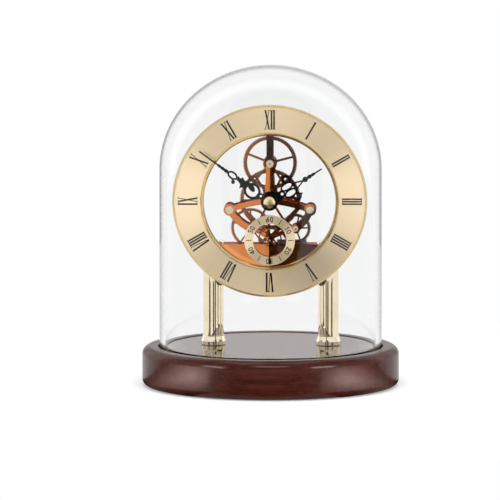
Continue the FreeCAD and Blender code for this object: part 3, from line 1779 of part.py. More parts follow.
def case_cover():
    """The copper plate that fills the foot of the opening, cut straight on top."""
    top = -float(size.cover_top_drop)
    reach = float(size.cover_radius + size.overrun)
    shape = disc(size.cover_radius, case_front, dial_back)
    above = slab([(-reach, top), (reach, top), (reach, reach), (-reach, reach)], case_front, dial_back)
    scallop_radius = size.cover_top_drop - size.seconds_drop + size.cover_scallop_depth
    stud_at = (float(size.cover_stud_reach), -float(size.cover_stud_drop))
    middle = case_front + size.cover_thickness / 2
    pilot = size.cover_screw_radius + size.thread_play
    dial_places = [polar(size.dial_post_circle, angle) for angle in COVER_SCREW_ANGLES]
    holes = [disc(scallop_radius, case_front, dial_back, seconds_at)]
    holes.append(disc(size.cover_stud_radius, case_front, dial_back, stud_at))
    holes.append(disc(size.arbor_radius + size.running_gap, case_front, middle, rotor_at))
    holes += [disc(pilot, case_front, case_front + size.cover_thickness * 3 / 4, p) for p in boss_places]
    holes += [disc(size.bridge_screw_radius + size.screw_play, case_front, dial_back, p) for p in dial_places]
    cover = joined([without(shape.cut(above), holes), cover_shelf()])
    feature("case_cover", cover)

    stud = joined(
        [
            disc(size.cover_stud_radius, case_front, dial_back, stud_at),
            disc(
                size.cover_stud_radius + size.stud_head_height,
                dial_back,
                dial_back + size.stud_head_height,
                stud_at,
            ),
        ]
    )
    feature("cover_stud", stud)

    into_dial = size.cover_thickness + size.dial_thickness / 2
    screws = [slotted_screw(p, case_front, -1, into_dial) for p in dial_places]
    feature("cover_screws", group(screws))

    screws = []
    head_seat = bay_front
    for place in boss_places:
        head = disc(
            size.cover_screw_head_radius, head_seat - size.cover_screw_head_height, head_seat, place
        )
        shank = disc(size.cover_screw_radius, head_seat, case_front + size.cover_thickness / 2, place)
        half = float(size.cover_screw_head_radius)
        slot = bar(
            (place[0] - half, float(place[1])),
            (place[0] + half, float(place[1])),
            float(size.screw_slot_width),
            head_seat - size.cover_screw_head_height,
            head_seat - size.cover_screw_head_height / 2,
        )
        screws.append(joined([head, shank]).cut(slot))
    feature("case_screws", group(screws))


def motor_case():
    half = case_half_width
    top = case_top
    bottom = -size.case_bottom_drop
    bay_low = -size.battery_drop - bay_half_height
    bay_high = -size.battery_drop + bay_half_height
    rim = size.battery_cover_overlap
    rebate_floor = case_back + size.battery_cover_thickness
    block = box("case_block", (-half, bottom, case_back), (half, top, case_front))
    hollows = [
        box(
            "case_front_room",
            (-bay_half_width, bottom + size.case_wall, partition_front),
            (bay_half_width, top + size.overrun, case_front + size.overrun),
        ),
        box(
            "battery_bay",
            (-bay_half_width, bay_low, case_back - size.overrun),
            (bay_half_width, bay_high, bay_front),
        ),
        box(
            "battery_cover_rebate",
            (-bay_half_width - rim, bay_low - rim, case_back - size.overrun),
            (bay_half_width + rim, bay_high + rim, rebate_floor),
        ),
    ]
    corner_reach = half + size.case_bottom_drop
    hollows.append(
        ring_body(
            "case_corner_cutter",
            corner_reach,
            size.dial_radius - size.case_dial_inset,
            case_back - size.overrun,
            case_front + size.overrun,
        )
    )
    pocket_half = size.case_screw_spread - boss_inset
    hollows.append(
        box(
            "case_lower_pocket",
            (-pocket_half, bottom + size.case_wall, case_back - size.overrun),
            (pocket_half, bay_low - size.case_wall, bay_front),
        )
    )
    hollows.append(
        box(
            "case_top_step",
            (-half - size.overrun, top - size.case_step, case_back - size.overrun),
            (half + size.overrun, top + size.overrun, bay_front),
        )
    )
    shell = cut("case_shell", block, hollows)
    additions = [shell]
    tools = []
    for number, place in enumerate(boss_places):
        additions.append(
            cylinder(f"case_boss_{number}", size.case_boss_radius, bay_front, case_front, place)
        )
        tools.append(
            cylinder(
                f"case_screw_hole_{number}",
                size.cover_screw_radius + size.screw_play,
                bay_front - size.overrun,
                case_front + size.overrun,
                place,
            )
        )
        tools.append(
            cylinder(
                f"case_counterbore_{number}",
                size.cover_screw_head_radius + size.screw_play,
                case_back - size.overrun,
                bay_front,
                place,
            )
        )
    for number, place in enumerate(board_pegs):
        additions.append(
            cylinder(
                f"board_peg_{number}",
                size.case_peg_radius,
                bay_front,
                partition_front + size.board_thickness * 1.5,
                place,
            )
        )
    for number, x in enumerate(stator_legs):
        place = (x, -size.stator_peg_drop)
        additions.append(
            cylinder(
                f"stator_stand_{number}", size.stator_leg_width / 2, bay_front, stator_low, place
            )
        )
        additions.append(
            cylinder(
                f"stator_peg_{number}",
                size.case_peg_radius,
                bay_front,
                stator_high + size.stator_thickness / 2,
                place,
            )
        )
    tools.append(
        cylinder(
            "rotor_pivot_hole",
            size.arbor_radius + size.running_gap,
            partition_front - size.case_partition / 2,
            partition_front + size.overrun,
            rotor_at,
        )
    )
    keep("motor_case", cut("motor_case", fused("case_with_bosses", additions), tools))

    play = size.battery_cover_play
    half = bay_half_width + rim - play
    low = bay_low - rim + play
    high = bay_high + rim - play
    lip = size.battery_cover_lip
    plate = box("battery_lid", (-half, low, case_back), (half, high, rebate_floor))
    lip_half = bay_half_width / 3
    lips = [
        box(
            "battery_lid_lip_low",
            (-lip_half, bay_low + play, rebate_floor - size.battery_cover_thickness / 2),
            (lip_half, bay_low + play + size.case_wall, rebate_floor + lip),
        ),
        box(
            "battery_lid_lip_high",
            (-lip_half, bay_high - play - size.case_wall, rebate_floor - size.battery_cover_thickness / 2),
            (lip_half, bay_high - play, rebate_floor + lip),
        ),
    ]
    keep("battery_cover", fused("battery_cover", [plate] + lips))


def electrics():
    axis_y, axis_z = [float(n) for n in battery_at]
    right = float(bay_half_width - size.contact_thickness)
    cap = float(size.battery_cap_height)
    length = float(size.battery_length)
    along = V(1, 0, 0)
    barrel = Part.makeCylinder(
        float(size.battery_radius), length - cap, V(right - length, axis_y, axis_z), along
    )
    nub = Part.makeCylinder(float(size.battery_cap_radius), cap, V(right - cap, axis_y, axis_z), along)
    feature("battery", joined([barrel, nub]))

    reach = float(size.battery_radius) / 2
    plate = Part.makeBox(
        float(size.contact_thickness), 2 * reach, 2 * reach, V(right, axis_y - reach, axis_z - reach)
    )
    feature("contact_plate", plate)
    sheet_thick = float(size.contact_thickness)
    wall = -float(bay_half_width)
    bend = (right - length - sheet_thick / 2, axis_y)
    root = (wall + sheet_thick / 2, axis_y - reach)
    tip = (wall + sheet_thick * 2, axis_y + reach / 2)
    low, high = axis_z - reach / 2, axis_z + reach / 2
    back = bar((root[0], axis_y - reach), (root[0], axis_y + reach), sheet_thick, low, high)
    spring = joined(
        [
            back,
            bar(root, bend, sheet_thick, low, high),
            disc(sheet_thick / 2, low, high, bend),
            bar(bend, tip, sheet_thick, low, high),
        ]
    )
    feature("contact_spring", spring)

    board_low = partition_front
    board_high = board_low + size.board_thickness
    left = float(board_left)
    top = -float(size.board_drop)
    board = Part.makeBox(
        float(size.board_width),
        float(size.board_height),
        float(size.board_thickness),
        V(left, top - float(size.board_height), float(board_low)),
    )
    holes = [disc(size.case_peg_radius + size.screw_play, board_low, board_high, p) for p in board_pegs]
    feature("circuit_board", without(board, holes))
    middle = left + float(size.board_width) / 2
    chip_at = (middle, top - float(size.board_height) / 2)
    feature("driver_chip", disc(size.chip_radius, board_high, board_high + size.chip_height, chip_at))
    crystal = Part.makeCylinder(
        float(size.crystal_radius),
        float(size.crystal_length),
        V(
            middle - float(size.crystal_length) / 2,
            top - float(size.crystal_radius * 2),
            float(board_high + size.crystal_radius),
        ),
        along,
    )
    feature("quartz_crystal", crystal)

    hole_radius = size.magnet_radius + size.stator_gap
    plate_top = rotor_at[1] + float(hole_radius + size.stator_wall)
    plate_bottom = rotor_at[1] - float(hole_radius + size.stator_wall)
    coil_y = -float(size.coil_drop)
    leg_half = float(size.stator_leg_width) / 2
    foot = coil_y - float(size.coil_core_width) / 2
    corners = [
        (stator_left, plate_top),
        (stator_right, plate_top),
        (stator_right, foot),
        (stator_legs[1] - leg_half, foot),
        (stator_legs[1] - leg_half, plate_bottom),
        (stator_legs[0] + leg_half, plate_bottom),
        (stator_legs[0] + leg_half, foot),
        (stator_left, foot),
    ]
    holes = [disc(hole_radius, stator_low, stator_high, rotor_at)]
    peg_hole = size.case_peg_radius + size.screw_play
    holes += [disc(peg_hole, stator_low, stator_high, (x, -size.stator_peg_drop)) for x in stator_legs]
    feature("stator", without(slab(corners, stator_low, stator_high), holes))

    core_high = stator_high + size.stator_thickness
    half = float(size.coil_core_width) / 2
    feature(
        "coil_core",
        slab(
            [
                (stator_left, coil_y - half),
                (stator_right, coil_y - half),
                (stator_right, coil_y + half),
                (stator_left, coil_y + half),
            ],
            stator_high,
            core_high,
        ),
    )
    start = float(stator_left + size.stator_leg_width + size.coil_end_gap)
    end = float(stator_right - size.stator_leg_width - size.coil_end_gap)
    axis = float(stator_high + size.stator_thickness / 2)
    wound = Part.makeCylinder(float(size.coil_radius), end - start, V(start, coil_y, axis), along)
    play = float(size.screw_play)
    tunnel = Part.makeBox(
        end - start,
        float(size.coil_core_width) + 2 * play,
        float(size.stator_thickness) + 2 * play,
        V(start, coil_y - half - play, axis - float(size.stator_thickness) / 2 - play),
    )
    feature("coil", wound.cut(tunnel))


def rotor_group():
    low = partition_front + size.magnet_lift
    high = low + size.magnet_length
    magnet = ring(size.magnet_radius, size.arbor_radius, low, high)
    feature("rotor_magnet", magnet, rotor_at)
    arbor(
        "rotor_arbor",
        size.arbor_radius,
        partition_front - size.case_partition / 2,
        case_front + size.cover_thickness / 2,
        size.rotor_module,
        ROTOR_TEETH,
        rotor_phase,
        pinion_low(2),
        rotor_at,
    )


def build():
    stand()
    dome()
    pillars()
    dial()
    hour_numerals()
    seconds_dial()
    carrier()
    bridges()
    bushes()
    centre_group()
    hour_group()
    studs = [motion_group(), third_group()]
    feature("train_studs", group(studs))
    upper_group()
    seconds_group()
    intermediate_group()
    rotor_group()
    case_cover()
    motor_case()
    electrics()
    hour_hand()
    minute_hand()
    seconds_hand()


build()
doc.recompute()
os.makedirs("parts", exist_ok=True)
for made in doc.Objects:
    for word in ("Invalid", "Error"):
        if word in made.State:
            raise RuntimeError(f"{made.Label} is {word}")
for label, thing in pieces.items():
    shape = thing.Shape
    if shape.isNull() or not shape.isValid() or not shape.Solids:
        raise RuntimeError(f"{label} has no valid solid")
    shape.exportStep(f"parts/{label}.step")
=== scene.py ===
import json
import math

import bmesh
import bpy
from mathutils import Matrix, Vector


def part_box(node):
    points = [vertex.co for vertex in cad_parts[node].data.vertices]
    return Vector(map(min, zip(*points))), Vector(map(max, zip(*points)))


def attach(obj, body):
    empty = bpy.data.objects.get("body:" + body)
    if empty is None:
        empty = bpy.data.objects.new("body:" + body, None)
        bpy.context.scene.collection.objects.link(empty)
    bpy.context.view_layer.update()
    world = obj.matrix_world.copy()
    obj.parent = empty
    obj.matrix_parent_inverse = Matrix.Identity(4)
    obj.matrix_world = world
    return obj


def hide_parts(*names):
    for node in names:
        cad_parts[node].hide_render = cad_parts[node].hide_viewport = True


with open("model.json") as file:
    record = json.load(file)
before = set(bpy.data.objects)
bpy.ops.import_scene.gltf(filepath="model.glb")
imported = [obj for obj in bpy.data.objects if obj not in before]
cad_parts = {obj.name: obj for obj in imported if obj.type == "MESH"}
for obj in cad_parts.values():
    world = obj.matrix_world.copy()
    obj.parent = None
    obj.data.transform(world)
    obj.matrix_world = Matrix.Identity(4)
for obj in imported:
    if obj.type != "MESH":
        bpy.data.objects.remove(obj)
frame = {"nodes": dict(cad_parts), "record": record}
nodes = frame["nodes"]
scene = bpy.context.scene

MM = 0.001
TURN = 2 * math.pi
QUARTER = TURN / 4


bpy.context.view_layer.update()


# shader nodes

def empty_material(name):
    """A material with nothing in its node tree but the output."""
    made = bpy.data.materials.new(name)
    made.use_nodes = True
    tree = made.node_tree
    tree.nodes.clear()
    return made, tree, tree.nodes.new("ShaderNodeOutputMaterial")


def new_material(name):
    """A material with a principled shader on its output."""
    made, tree, output = empty_material(name)
    shader = tree.nodes.new("ShaderNodeBsdfPrincipled")
    tree.links.new(shader.outputs["BSDF"], output.inputs["Surface"])
    return made, tree, shader, output


def grey(level):
    return (level, level, level)


def place(tree, scale=(1, 1, 1)):
    """Object coordinates stretched by some factors."""
    coords = tree.nodes.new("ShaderNodeTexCoord")
    mapping = tree.nodes.new("ShaderNodeMapping")
    mapping.inputs["Scale"].default_value = scale
    tree.links.new(coords.outputs["Object"], mapping.inputs["Vector"])
    return mapping.outputs["Vector"]


def noise(tree, vector, scale, detail=4, roughness=0.55, distortion=0):
    made = tree.nodes.new("ShaderNodeTexNoise")
    for name, value in (
        ("Scale", scale),
        ("Detail", detail),
        ("Roughness", roughness),
        ("Distortion", distortion),
    ):
        made.inputs[name].default_value = value
    tree.links.new(vector, made.inputs["Vector"])
    return made.outputs["Fac"]


def ramp(tree, factor, stops):
    """Colours along a factor, from pairs of a position and a colour."""
    made = tree.nodes.new("ShaderNodeValToRGB")
    elements = made.color_ramp.elements
    while len(elements) < len(stops):
        elements.new(0.5)
    for element, (position, colour) in zip(elements, stops):
        element.position = position
        element.color = (*colour, 1)
    tree.links.new(factor, made.inputs["Fac"])
    return made.outputs["Color"]


def grey_ramp(tree, factor, stops):
    return ramp(tree, factor, [(position, grey(level)) for position, level in stops])


def spread(tree, factor, low, high, from_low=0.3, from_high=0.7):
    """The range of a factor moved to another range; a noise mostly lies in the default one."""
    made = tree.nodes.new("ShaderNodeMapRange")
    for name, value in (
        ("From Min", from_low),
        ("From Max", from_high),
        ("To Min", low),
        ("To Max", high),
    ):
        made.inputs[name].default_value = value
    tree.links.new(factor, made.inputs["Value"])
    return made.outputs["Result"]


def calculate(tree, operation, first, second):
    """One calculation with two values, each a number or the output of a node."""
    made = tree.nodes.new("ShaderNodeMath")
    made.operation = operation
    for number, value in enumerate((first, second)):
        if isinstance(value, (int, float)):
            made.inputs[number].default_value = value
        else:
            tree.links.new(value, made.inputs[number])
    return made.outputs["Value"]


def vector_node(tree, operation, vector, other=None):
    made = tree.nodes.new("ShaderNodeVectorMath")
    made.operation = operation
    tree.links.new(vector, made.inputs[0])
    if other:
        made.inputs[1].default_value = other
    return made


def blend(tree, factor, first, second):
    """The first shader where the factor is zero, and the second where it is one."""
    made = tree.nodes.new("ShaderNodeMixShader")
    tree.links.new(factor, made.inputs["Fac"])
    tree.links.new(first, made.inputs[1])
    tree.links.new(second, made.inputs[2])
    return made.outputs["Shader"]


def emission(tree, strength, colour=(1, 1, 1)):
    made = tree.nodes.new("ShaderNodeEmission")
    made.inputs["Color"].default_value = (*colour, 1)
    made.inputs["Strength"].default_value = strength
    return made


def bump(tree, shader, height, strength, distance):
    made = tree.nodes.new("ShaderNodeBump")
    made.inputs["Strength"].default_value = strength
    made.inputs["Distance"].default_value = distance
    tree.links.new(height, made.inputs["Height"])
    tree.links.new(made.outputs["Normal"], shader.inputs["Normal"])


def seen_by_eye(tree):
    """One for rays that reach the eye straight, through glass or off a shiny surface."""
    paths = tree.nodes.new("ShaderNodeLightPath")
    through = calculate(
        tree, "MAXIMUM", paths.outputs["Is Camera Ray"], paths.outputs["Is Transmission Ray"]
    )
    return calculate(tree, "MAXIMUM", through, paths.outputs["Is Glossy Ray"])


# materials of the part

TINT_SCALE = 60
RING_SCALE = 900
FINE_BUMP = 0.01 * MM
SOFT_BUMP = 0.02 * MM
PORE_BUMP = 0.06 * MM


def metal(name, light, dark, roughness, grain=(900, 900, 900), edge=(1, 1, 1)):
    """Metal whose tint and polish vary a little, with a fine surface."""
    made, tree, shader, output = new_material(name)
    shader.inputs["Metallic"].default_value = 1
    shader.inputs["Specular Tint"].default_value = (*edge, 1)
    slow = noise(tree, place(tree), TINT_SCALE, detail=3)
    colour = ramp(tree, slow, [(0.35, light), (0.65, dark)])
    tree.links.new(colour, shader.inputs["Base Color"])
    fine = noise(tree, place(tree, grain), 1)
    tree.links.new(spread(tree, fine, *roughness), shader.inputs["Roughness"])
    bump(tree, shader, fine, strength=0.12, distance=FINE_BUMP)
    return made


def turned_metal(name, light, dark, roughness, anisotropy, axis, edge=(1, 1, 1)):
    """Metal finished with fine rings about an axis, which catches light in wedges."""
    made, tree, shader, output = new_material(name)
    shader.inputs["Metallic"].default_value = 1
    shader.inputs["Specular Tint"].default_value = (*edge, 1)
    shader.inputs["Anisotropic"].default_value = anisotropy
    shader.inputs["Anisotropic Rotation"].default_value = 0.25
    tangent = tree.nodes.new("ShaderNodeTangent")
    tangent.direction_type = "RADIAL"
    tangent.axis = axis
    tree.links.new(tangent.outputs["Tangent"], shader.inputs["Tangent"])
    coords = tree.nodes.new("ShaderNodeTexCoord")
    across = {"Y": (1, 0, 1), "Z": (1, 1, 0)}[axis]
    offset = vector_node(tree, "SUBTRACT", coords.outputs["Generated"], grey(0.5))
    flat = vector_node(tree, "MULTIPLY", offset.outputs["Vector"], across)
    length = vector_node(tree, "LENGTH", flat.outputs["Vector"])
    rings = tree.nodes.new("ShaderNodeTexNoise")
    rings.noise_dimensions = "1D"
    rings.inputs["Scale"].default_value = RING_SCALE
    rings.inputs["Detail"].default_value = 3
    tree.links.new(length.outputs["Value"], rings.inputs["W"])
    height = rings.outputs["Fac"]
    colour = ramp(tree, height, [(0.3, dark), (0.7, light)])
    tree.links.new(colour, shader.inputs["Base Color"])
    tree.links.new(spread(tree, height, *roughness), shader.inputs["Roughness"])
    bump(tree, shader, height, strength=0.08, distance=SOFT_BUMP)
    return made


def plastic(name, light, dark, roughness, grain=1500, shine=0.4):
    made, tree, shader, output = new_material(name)
    shader.inputs["Specular IOR Level"].default_value = shine
    texture = noise(tree, place(tree), grain, detail=3)
    colour = ramp(tree, texture, [(0.3, light), (0.7, dark)])
    tree.links.new(colour, shader.inputs["Base Color"])
    tree.links.new(spread(tree, texture, *roughness), shader.inputs["Roughness"])
    bump(tree, shader, texture, strength=0.15, distance=SOFT_BUMP)
    return made


def mahogany():
    """Red-brown wood with fine short grain under clear lacquer."""
    made, tree, shader, output = new_material("mahogany")
    shader.inputs["Specular IOR Level"].default_value = 0.04
    shader.inputs["Coat Weight"].default_value = 0.4
    shader.inputs["Coat Roughness"].default_value = 0.14
    shader.inputs["Coat IOR"].default_value = 1.42
    streaks = noise(tree, place(tree, (18, 260, 260)), 1, detail=5, roughness=0.6, distortion=0.3)
    pores = noise(tree, place(tree, (90, 1600, 1600)), 1, detail=5, roughness=0.6)
    mix = tree.nodes.new("ShaderNodeMix")
    mix.data_type = "FLOAT"
    mix.inputs["Factor"].default_value = 0.4
    tree.links.new(streaks, mix.inputs["A"])
    tree.links.new(pores, mix.inputs["B"])
    colour = ramp(
        tree,
        mix.outputs["Result"],
        [
            (0.28, (0.016, 0.004, 0.0025)),
            (0.45, (0.042, 0.0085, 0.005)),
            (0.60, (0.070, 0.0145, 0.0085)),
            (0.78, (0.110, 0.026, 0.016)),
        ],
    )
    tree.links.new(colour, shader.inputs["Base Color"])
    tree.links.new(spread(tree, pores, 0.34, 0.44), shader.inputs["Roughness"])
    bump(tree, shader, pores, strength=0.06, distance=PORE_BUMP)
    return made


def clear_glass():
    """Clear glass with a darker rim to the eye, which lets lamp light through to what it covers; the
    darker rim is painted shade, a colour darkened by the slant of view and shown to camera rays only.
    """
    made, tree, shader, output = new_material("clear_glass")
    shader.inputs["Transmission Weight"].default_value = 1
    shader.inputs["IOR"].default_value = 1.32
    slow = noise(tree, place(tree), 12, detail=2)
    body_tint = ramp(tree, slow, [(0.3, (0.975, 0.98, 0.98)), (0.7, grey(0.985))])
    # Painted shade: the colour darkens towards the rim as the surface slants away from the view.
    slant = tree.nodes.new("ShaderNodeLayerWeight")
    slant.inputs["Blend"].default_value = 0.5
    painted_rim_shade = grey_ramp(
        tree,
        slant.outputs["Facing"],
        [
            (0.0, 0.98),
            (0.45, 0.98),
            (0.55, 1),
            (0.70, 1),
            (0.76, 0.72),
            (0.82, 0.35),
            (0.90, 0.06),
        ],
    )
    # Camera rays get the random tint times the painted rim shade; all other rays get only the random
    # tint.
    paths = tree.nodes.new("ShaderNodeLightPath")
    tint_and_painted_rim_shade = tree.nodes.new("ShaderNodeMix")
    tint_and_painted_rim_shade.data_type = "RGBA"
    tint_and_painted_rim_shade.blend_type = "MULTIPLY"
    tree.links.new(paths.outputs["Is Camera Ray"], tint_and_painted_rim_shade.inputs["Factor"])
    tree.links.new(body_tint, tint_and_painted_rim_shade.inputs["A"])
    tree.links.new(painted_rim_shade, tint_and_painted_rim_shade.inputs["B"])
    tree.links.new(tint_and_painted_rim_shade.outputs["Result"], shader.inputs["Base Color"])
    smear = noise(tree, place(tree), 35, detail=3)
    tree.links.new(spread(tree, smear, 0, 0.012), shader.inputs["Roughness"])
    clear = tree.nodes.new("ShaderNodeBsdfTransparent")
    clear.inputs["Color"].default_value = (*grey(0.97), 1)
    lit = calculate(
        tree, "MAXIMUM", paths.outputs["Is Shadow Ray"], paths.outputs["Is Diffuse Ray"]
    )
    surface = blend(tree, lit, shader.outputs["BSDF"], clear.outputs["BSDF"])
    tree.links.new(surface, output.inputs["Surface"])
    body = tree.nodes.new("ShaderNodeVolumeAbsorption")
    body.inputs["Color"].default_value = (0.1, 0.12, 0.11, 1)
    body.inputs["Density"].default_value = 7
    tree.links.new(body.outputs["Volume"], output.inputs["Volume"])
    return made


MATERIALS = {
    "mahogany": mahogany(),
    "glass": clear_glass(),
    "felt": plastic("felt", grey(0.015), grey(0.04), (0.9, 1.0), grain=2500),
    "black_enamel": plastic(
        "black_enamel", grey(0.0015), grey(0.004), (0.28, 0.4), shine=0.04
    ),
    "case_plastic": plastic("case_plastic", grey(0.01), grey(0.02), (0.35, 0.5)),
    "board_resin": plastic("board_resin", (0.01, 0.09, 0.04), (0.02, 0.13, 0.06), (0.3, 0.4)),
    "chip_resin": plastic("chip_resin", grey(0.01), grey(0.015), (0.2, 0.3)),
    "plate_metal": turned_metal(
        "plate_metal",
        (0.39, 0.365, 0.355),
        (0.32, 0.30, 0.295),
        (0.05, 0.09),
        anisotropy=0.4,
        axis="Z",
        edge=(0.62, 0.58, 0.57),
    ),
    "dial_metal": turned_metal(
        "dial_metal",
        (0.98, 0.79, 0.53),
        (0.86, 0.69, 0.44),
        (0.42, 0.50),
        anisotropy=0.85,
        axis="Y",
    ),
    "polished_brass": metal(
        "polished_brass", (0.93, 0.83, 0.62), (0.88, 0.76, 0.53), (0.03, 0.06)
    ),
    "gilt": metal("gilt", (0.76, 0.57, 0.26), (0.68, 0.49, 0.21), (0.10, 0.18)),
    "copper_plate": metal(
        "copper_plate",
        (0.95, 0.34, 0.09),
        (0.86, 0.28, 0.07),
        (0.03, 0.05),
        edge=(0.35, 0.14, 0.08),
    ),
    "wheel_metal": metal(
        "wheel_metal",
        (0.44, 0.165, 0.065),
        (0.32, 0.115, 0.045),
        (0.18, 0.28),
        edge=(0.3, 0.14, 0.08),
    ),
    "steel": metal("steel", (0.55, 0.55, 0.56), (0.45, 0.45, 0.46), (0.18, 0.3)),
    "cell_can": metal("cell_can", (0.25, 0.26, 0.28), (0.2, 0.21, 0.23), (0.25, 0.35)),
    "soft_iron": metal("soft_iron", (0.35, 0.35, 0.36), (0.28, 0.28, 0.29), (0.3, 0.45)),
    "coil_wire": metal(
        "coil_wire", (0.5, 0.2, 0.08), (0.4, 0.15, 0.06), (0.25, 0.4), grain=(4000, 20, 20)
    ),
    "magnet": metal("magnet", (0.2, 0.2, 0.21), (0.15, 0.15, 0.16), (0.3, 0.45)),
}
OWN_FINISH = {"hand_nut": metal("nut_brass", (0.90, 0.72, 0.42), (0.84, 0.66, 0.36), (0.2, 0.28))}
SOFT_EDGES = {"pillar_left": 50, "pillar_right": 50, "pillar_collars": 50, "hand_nut": 45}
USUAL_EDGE = 30

slot_of = {s["node"]: s["material_slot"] for s in frame["record"]["subparts"]}
for name, piece in nodes.items():
    piece.data.materials.clear()
    piece.data.materials.append(OWN_FINISH.get(name, MATERIALS[slot_of[name]]))
    piece.data.shade_smooth()
    smooth = piece.modifiers.new("smooth_edges", "EDGE_SPLIT")
    smooth.split_angle = math.radians(SOFT_EDGES.get(name, USUAL_EDGE))


# the dome, turned with finer steps than the solid's mesh

DOME_WALL = 3 * MM
DOME_CROWN = 61 * MM
DOME_STEPS = 192
CROWN_STEPS = 40
RIM_EDGE = 40
SHRINK = 0.005 * MM


def on_circle(radius, share, centre=(0, 0)):
    """The point on a circle after a share of a turn."""
    return (
        centre[0] + radius * math.cos(TURN * share),
        centre[1] + radius * math.sin(TURN * share),
    )


def crown_line(radius, height, spring):
    """Points from the skirt up to the top of the crown."""
    return [
        (
            radius * math.cos(QUARTER * step / CROWN_STEPS),
            spring + height * math.sin(QUARTER * step / CROWN_STEPS),
        )
        for step in range(CROWN_STEPS + 1)
    ]


def lathe(name, profile, steps):
    """A closed body turned about the z axis, whose closed profile may touch the axis."""
    mesh = bmesh.new()
    rings = []
    for radius, height in profile:
        places = [(0, 0)] if radius < SHRINK else [on_circle(radius, n / steps) for n in range(steps)]
        rings.append([mesh.verts.new((x, y, height)) for x, y in places])
    for low, high in zip(rings, rings[1:] + rings[:1]):
        if len(low) == 1 and len(high) == 1:
            continue
        for step in range(steps):
            after = (step + 1) % steps
            if len(low) == 1:
                mesh.faces.new((low[0], high[after], high[step]))
            elif len(high) == 1:
                mesh.faces.new((low[step], low[after], high[0]))
            else:
                mesh.faces.new((low[step], low[after], high[after], high[step]))
    data = bpy.data.meshes.new(name)
    mesh.to_mesh(data)
    mesh.free()
    made = bpy.data.objects.new(name, data)
    scene.collection.objects.link(made)
    return made


def dome():
    low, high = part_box("glass_dome")
    radius = high[0] - SHRINK
    bottom = low[2] + SHRINK
    spring = high[2] - DOME_CROWN
    rise = DOME_CROWN - SHRINK
    outer = [(radius, bottom)] + crown_line(radius, rise, spring)
    inner = crown_line(radius - DOME_WALL, rise - DOME_WALL, spring)[::-1]
    made = lathe("dome_glass", outer + inner + [(radius - DOME_WALL, bottom)], DOME_STEPS)
    made.data.materials.append(MATERIALS["glass"])
    made.data.shade_smooth()
    rim = made.modifiers.new("rim_edges", "EDGE_SPLIT")
    rim.split_angle = math.radians(RIM_EDGE)
    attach(made, "dome")
    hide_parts("glass_dome")
    return made


dome_glass = dome()


# stage: the floor

SHADOW_NEAR = 0.14
SHADOW_FAR = 0.34
FLOOR_HALF_WIDTH = 3000
FLOOR_NEAR_Y = -4350
FLOOR_FAR_Y = 650


def sheet(name, points, material):
    """A flat piece of the stage, from its corners in millimetres."""
    mesh = bpy.data.meshes.new(name)
    mesh.from_pydata([[n * MM for n in point] for point in points], [], [range(len(points))])
    mesh.materials.append(material)
    made = bpy.data.objects.new(name, mesh)
    scene.collection.objects.link(made)
    return made


def floor_material():
    """White floor that keeps the shadow near the object and is plain white further away."""
    made, tree, shader, output = new_material("floor_white")
    shader.inputs["Base Color"].default_value = (*grey(0.8), 1)
    shader.inputs["Roughness"].default_value = 0.9
    shader.inputs["Specular IOR Level"].default_value = 0
    near = tree.nodes.new("ShaderNodeAddShader")
    tree.links.new(shader.outputs["BSDF"], near.inputs[0])
    tree.links.new(emission(tree, 0.32).outputs["Emission"], near.inputs[1])
    coords = tree.nodes.new("ShaderNodeTexCoord")
    length = vector_node(tree, "LENGTH", coords.outputs["Object"])
    away = spread(tree, length.outputs["Value"], 0, 1, from_low=SHADOW_NEAR, from_high=SHADOW_FAR)
    seen = blend(tree, away, near.outputs["Shader"], emission(tree, 1).outputs["Emission"])
    dim = tree.nodes.new("ShaderNodeBsdfDiffuse")
    dim.inputs["Color"].default_value = (*grey(0.35), 1)
    surface = blend(tree, seen_by_eye(tree), dim.outputs["BSDF"], seen)
    tree.links.new(surface, output.inputs["Surface"])
    return made


sheet(
    "floor",
    [
        (-FLOOR_HALF_WIDTH, FLOOR_NEAR_Y, 0),
        (FLOOR_HALF_WIDTH, FLOOR_NEAR_Y, 0),
        (FLOOR_HALF_WIDTH, FLOOR_FAR_Y, 0),
        (-FLOOR_HALF_WIDTH, FLOOR_FAR_Y, 0),
    ],
    floor_material(),
)


# stage: cards that the shiny surfaces mirror

HALF_STEP = 0.5
CARD_Y = -90
SPOT_Y = -89
CARD_LEFT = 2.6
CARD_DROP = 8.5
DIAL_Z = 110
BRIGHT_RADIUS = 37
DARK_RADIUS = 43
BAR_CLEAR = 7
UPPER_PIVOT = 21.6
SPLIT_Z = UPPER_PIVOT - 2
ARC_STEPS = 24
BAR_STEPS = 2
SPOT_STEPS = 16
SPOTS = ((24.1, -4.4, 3), (0, UPPER_PIVOT, 2.4), (14.9, -16.5, 2.2))
STRIPE_TOP = 45
STRIPES = ((-129, -107, 31), (-25, -132, 19), (25, -132, 19), (129, -107, 31))
SIDE_DIRECTION = 87
SIDE_DISTANCE = 600
SIDE_HALF_WIDTH = 280
SIDE_LOW = -150
SIDE_HIGH = 450
FLOOR_CARD_LIFT = 0.4
SHEENS = {
    "right": [(40, -64), (40, -185), (215, -185), (215, 20), (74, 20)],
    "left": [(-40, -66), (-40, -200), (-230, -200), (-230, 20), (-74, 20)],
}
FLOOR_DARK = [
    (-54, -80),
    (-130, -130),
    (-120, -195),
    (120, -195),
    (130, -150),
    (44, -88),
    (22, -76),
    (-22, -76),
]


def at_least(tree, depth, number):
    """One for rays that met at least this number of surfaces of one kind."""
    paths = tree.nodes.new("ShaderNodeLightPath")
    return calculate(tree, "GREATER_THAN", paths.outputs[depth], number - HALF_STEP)


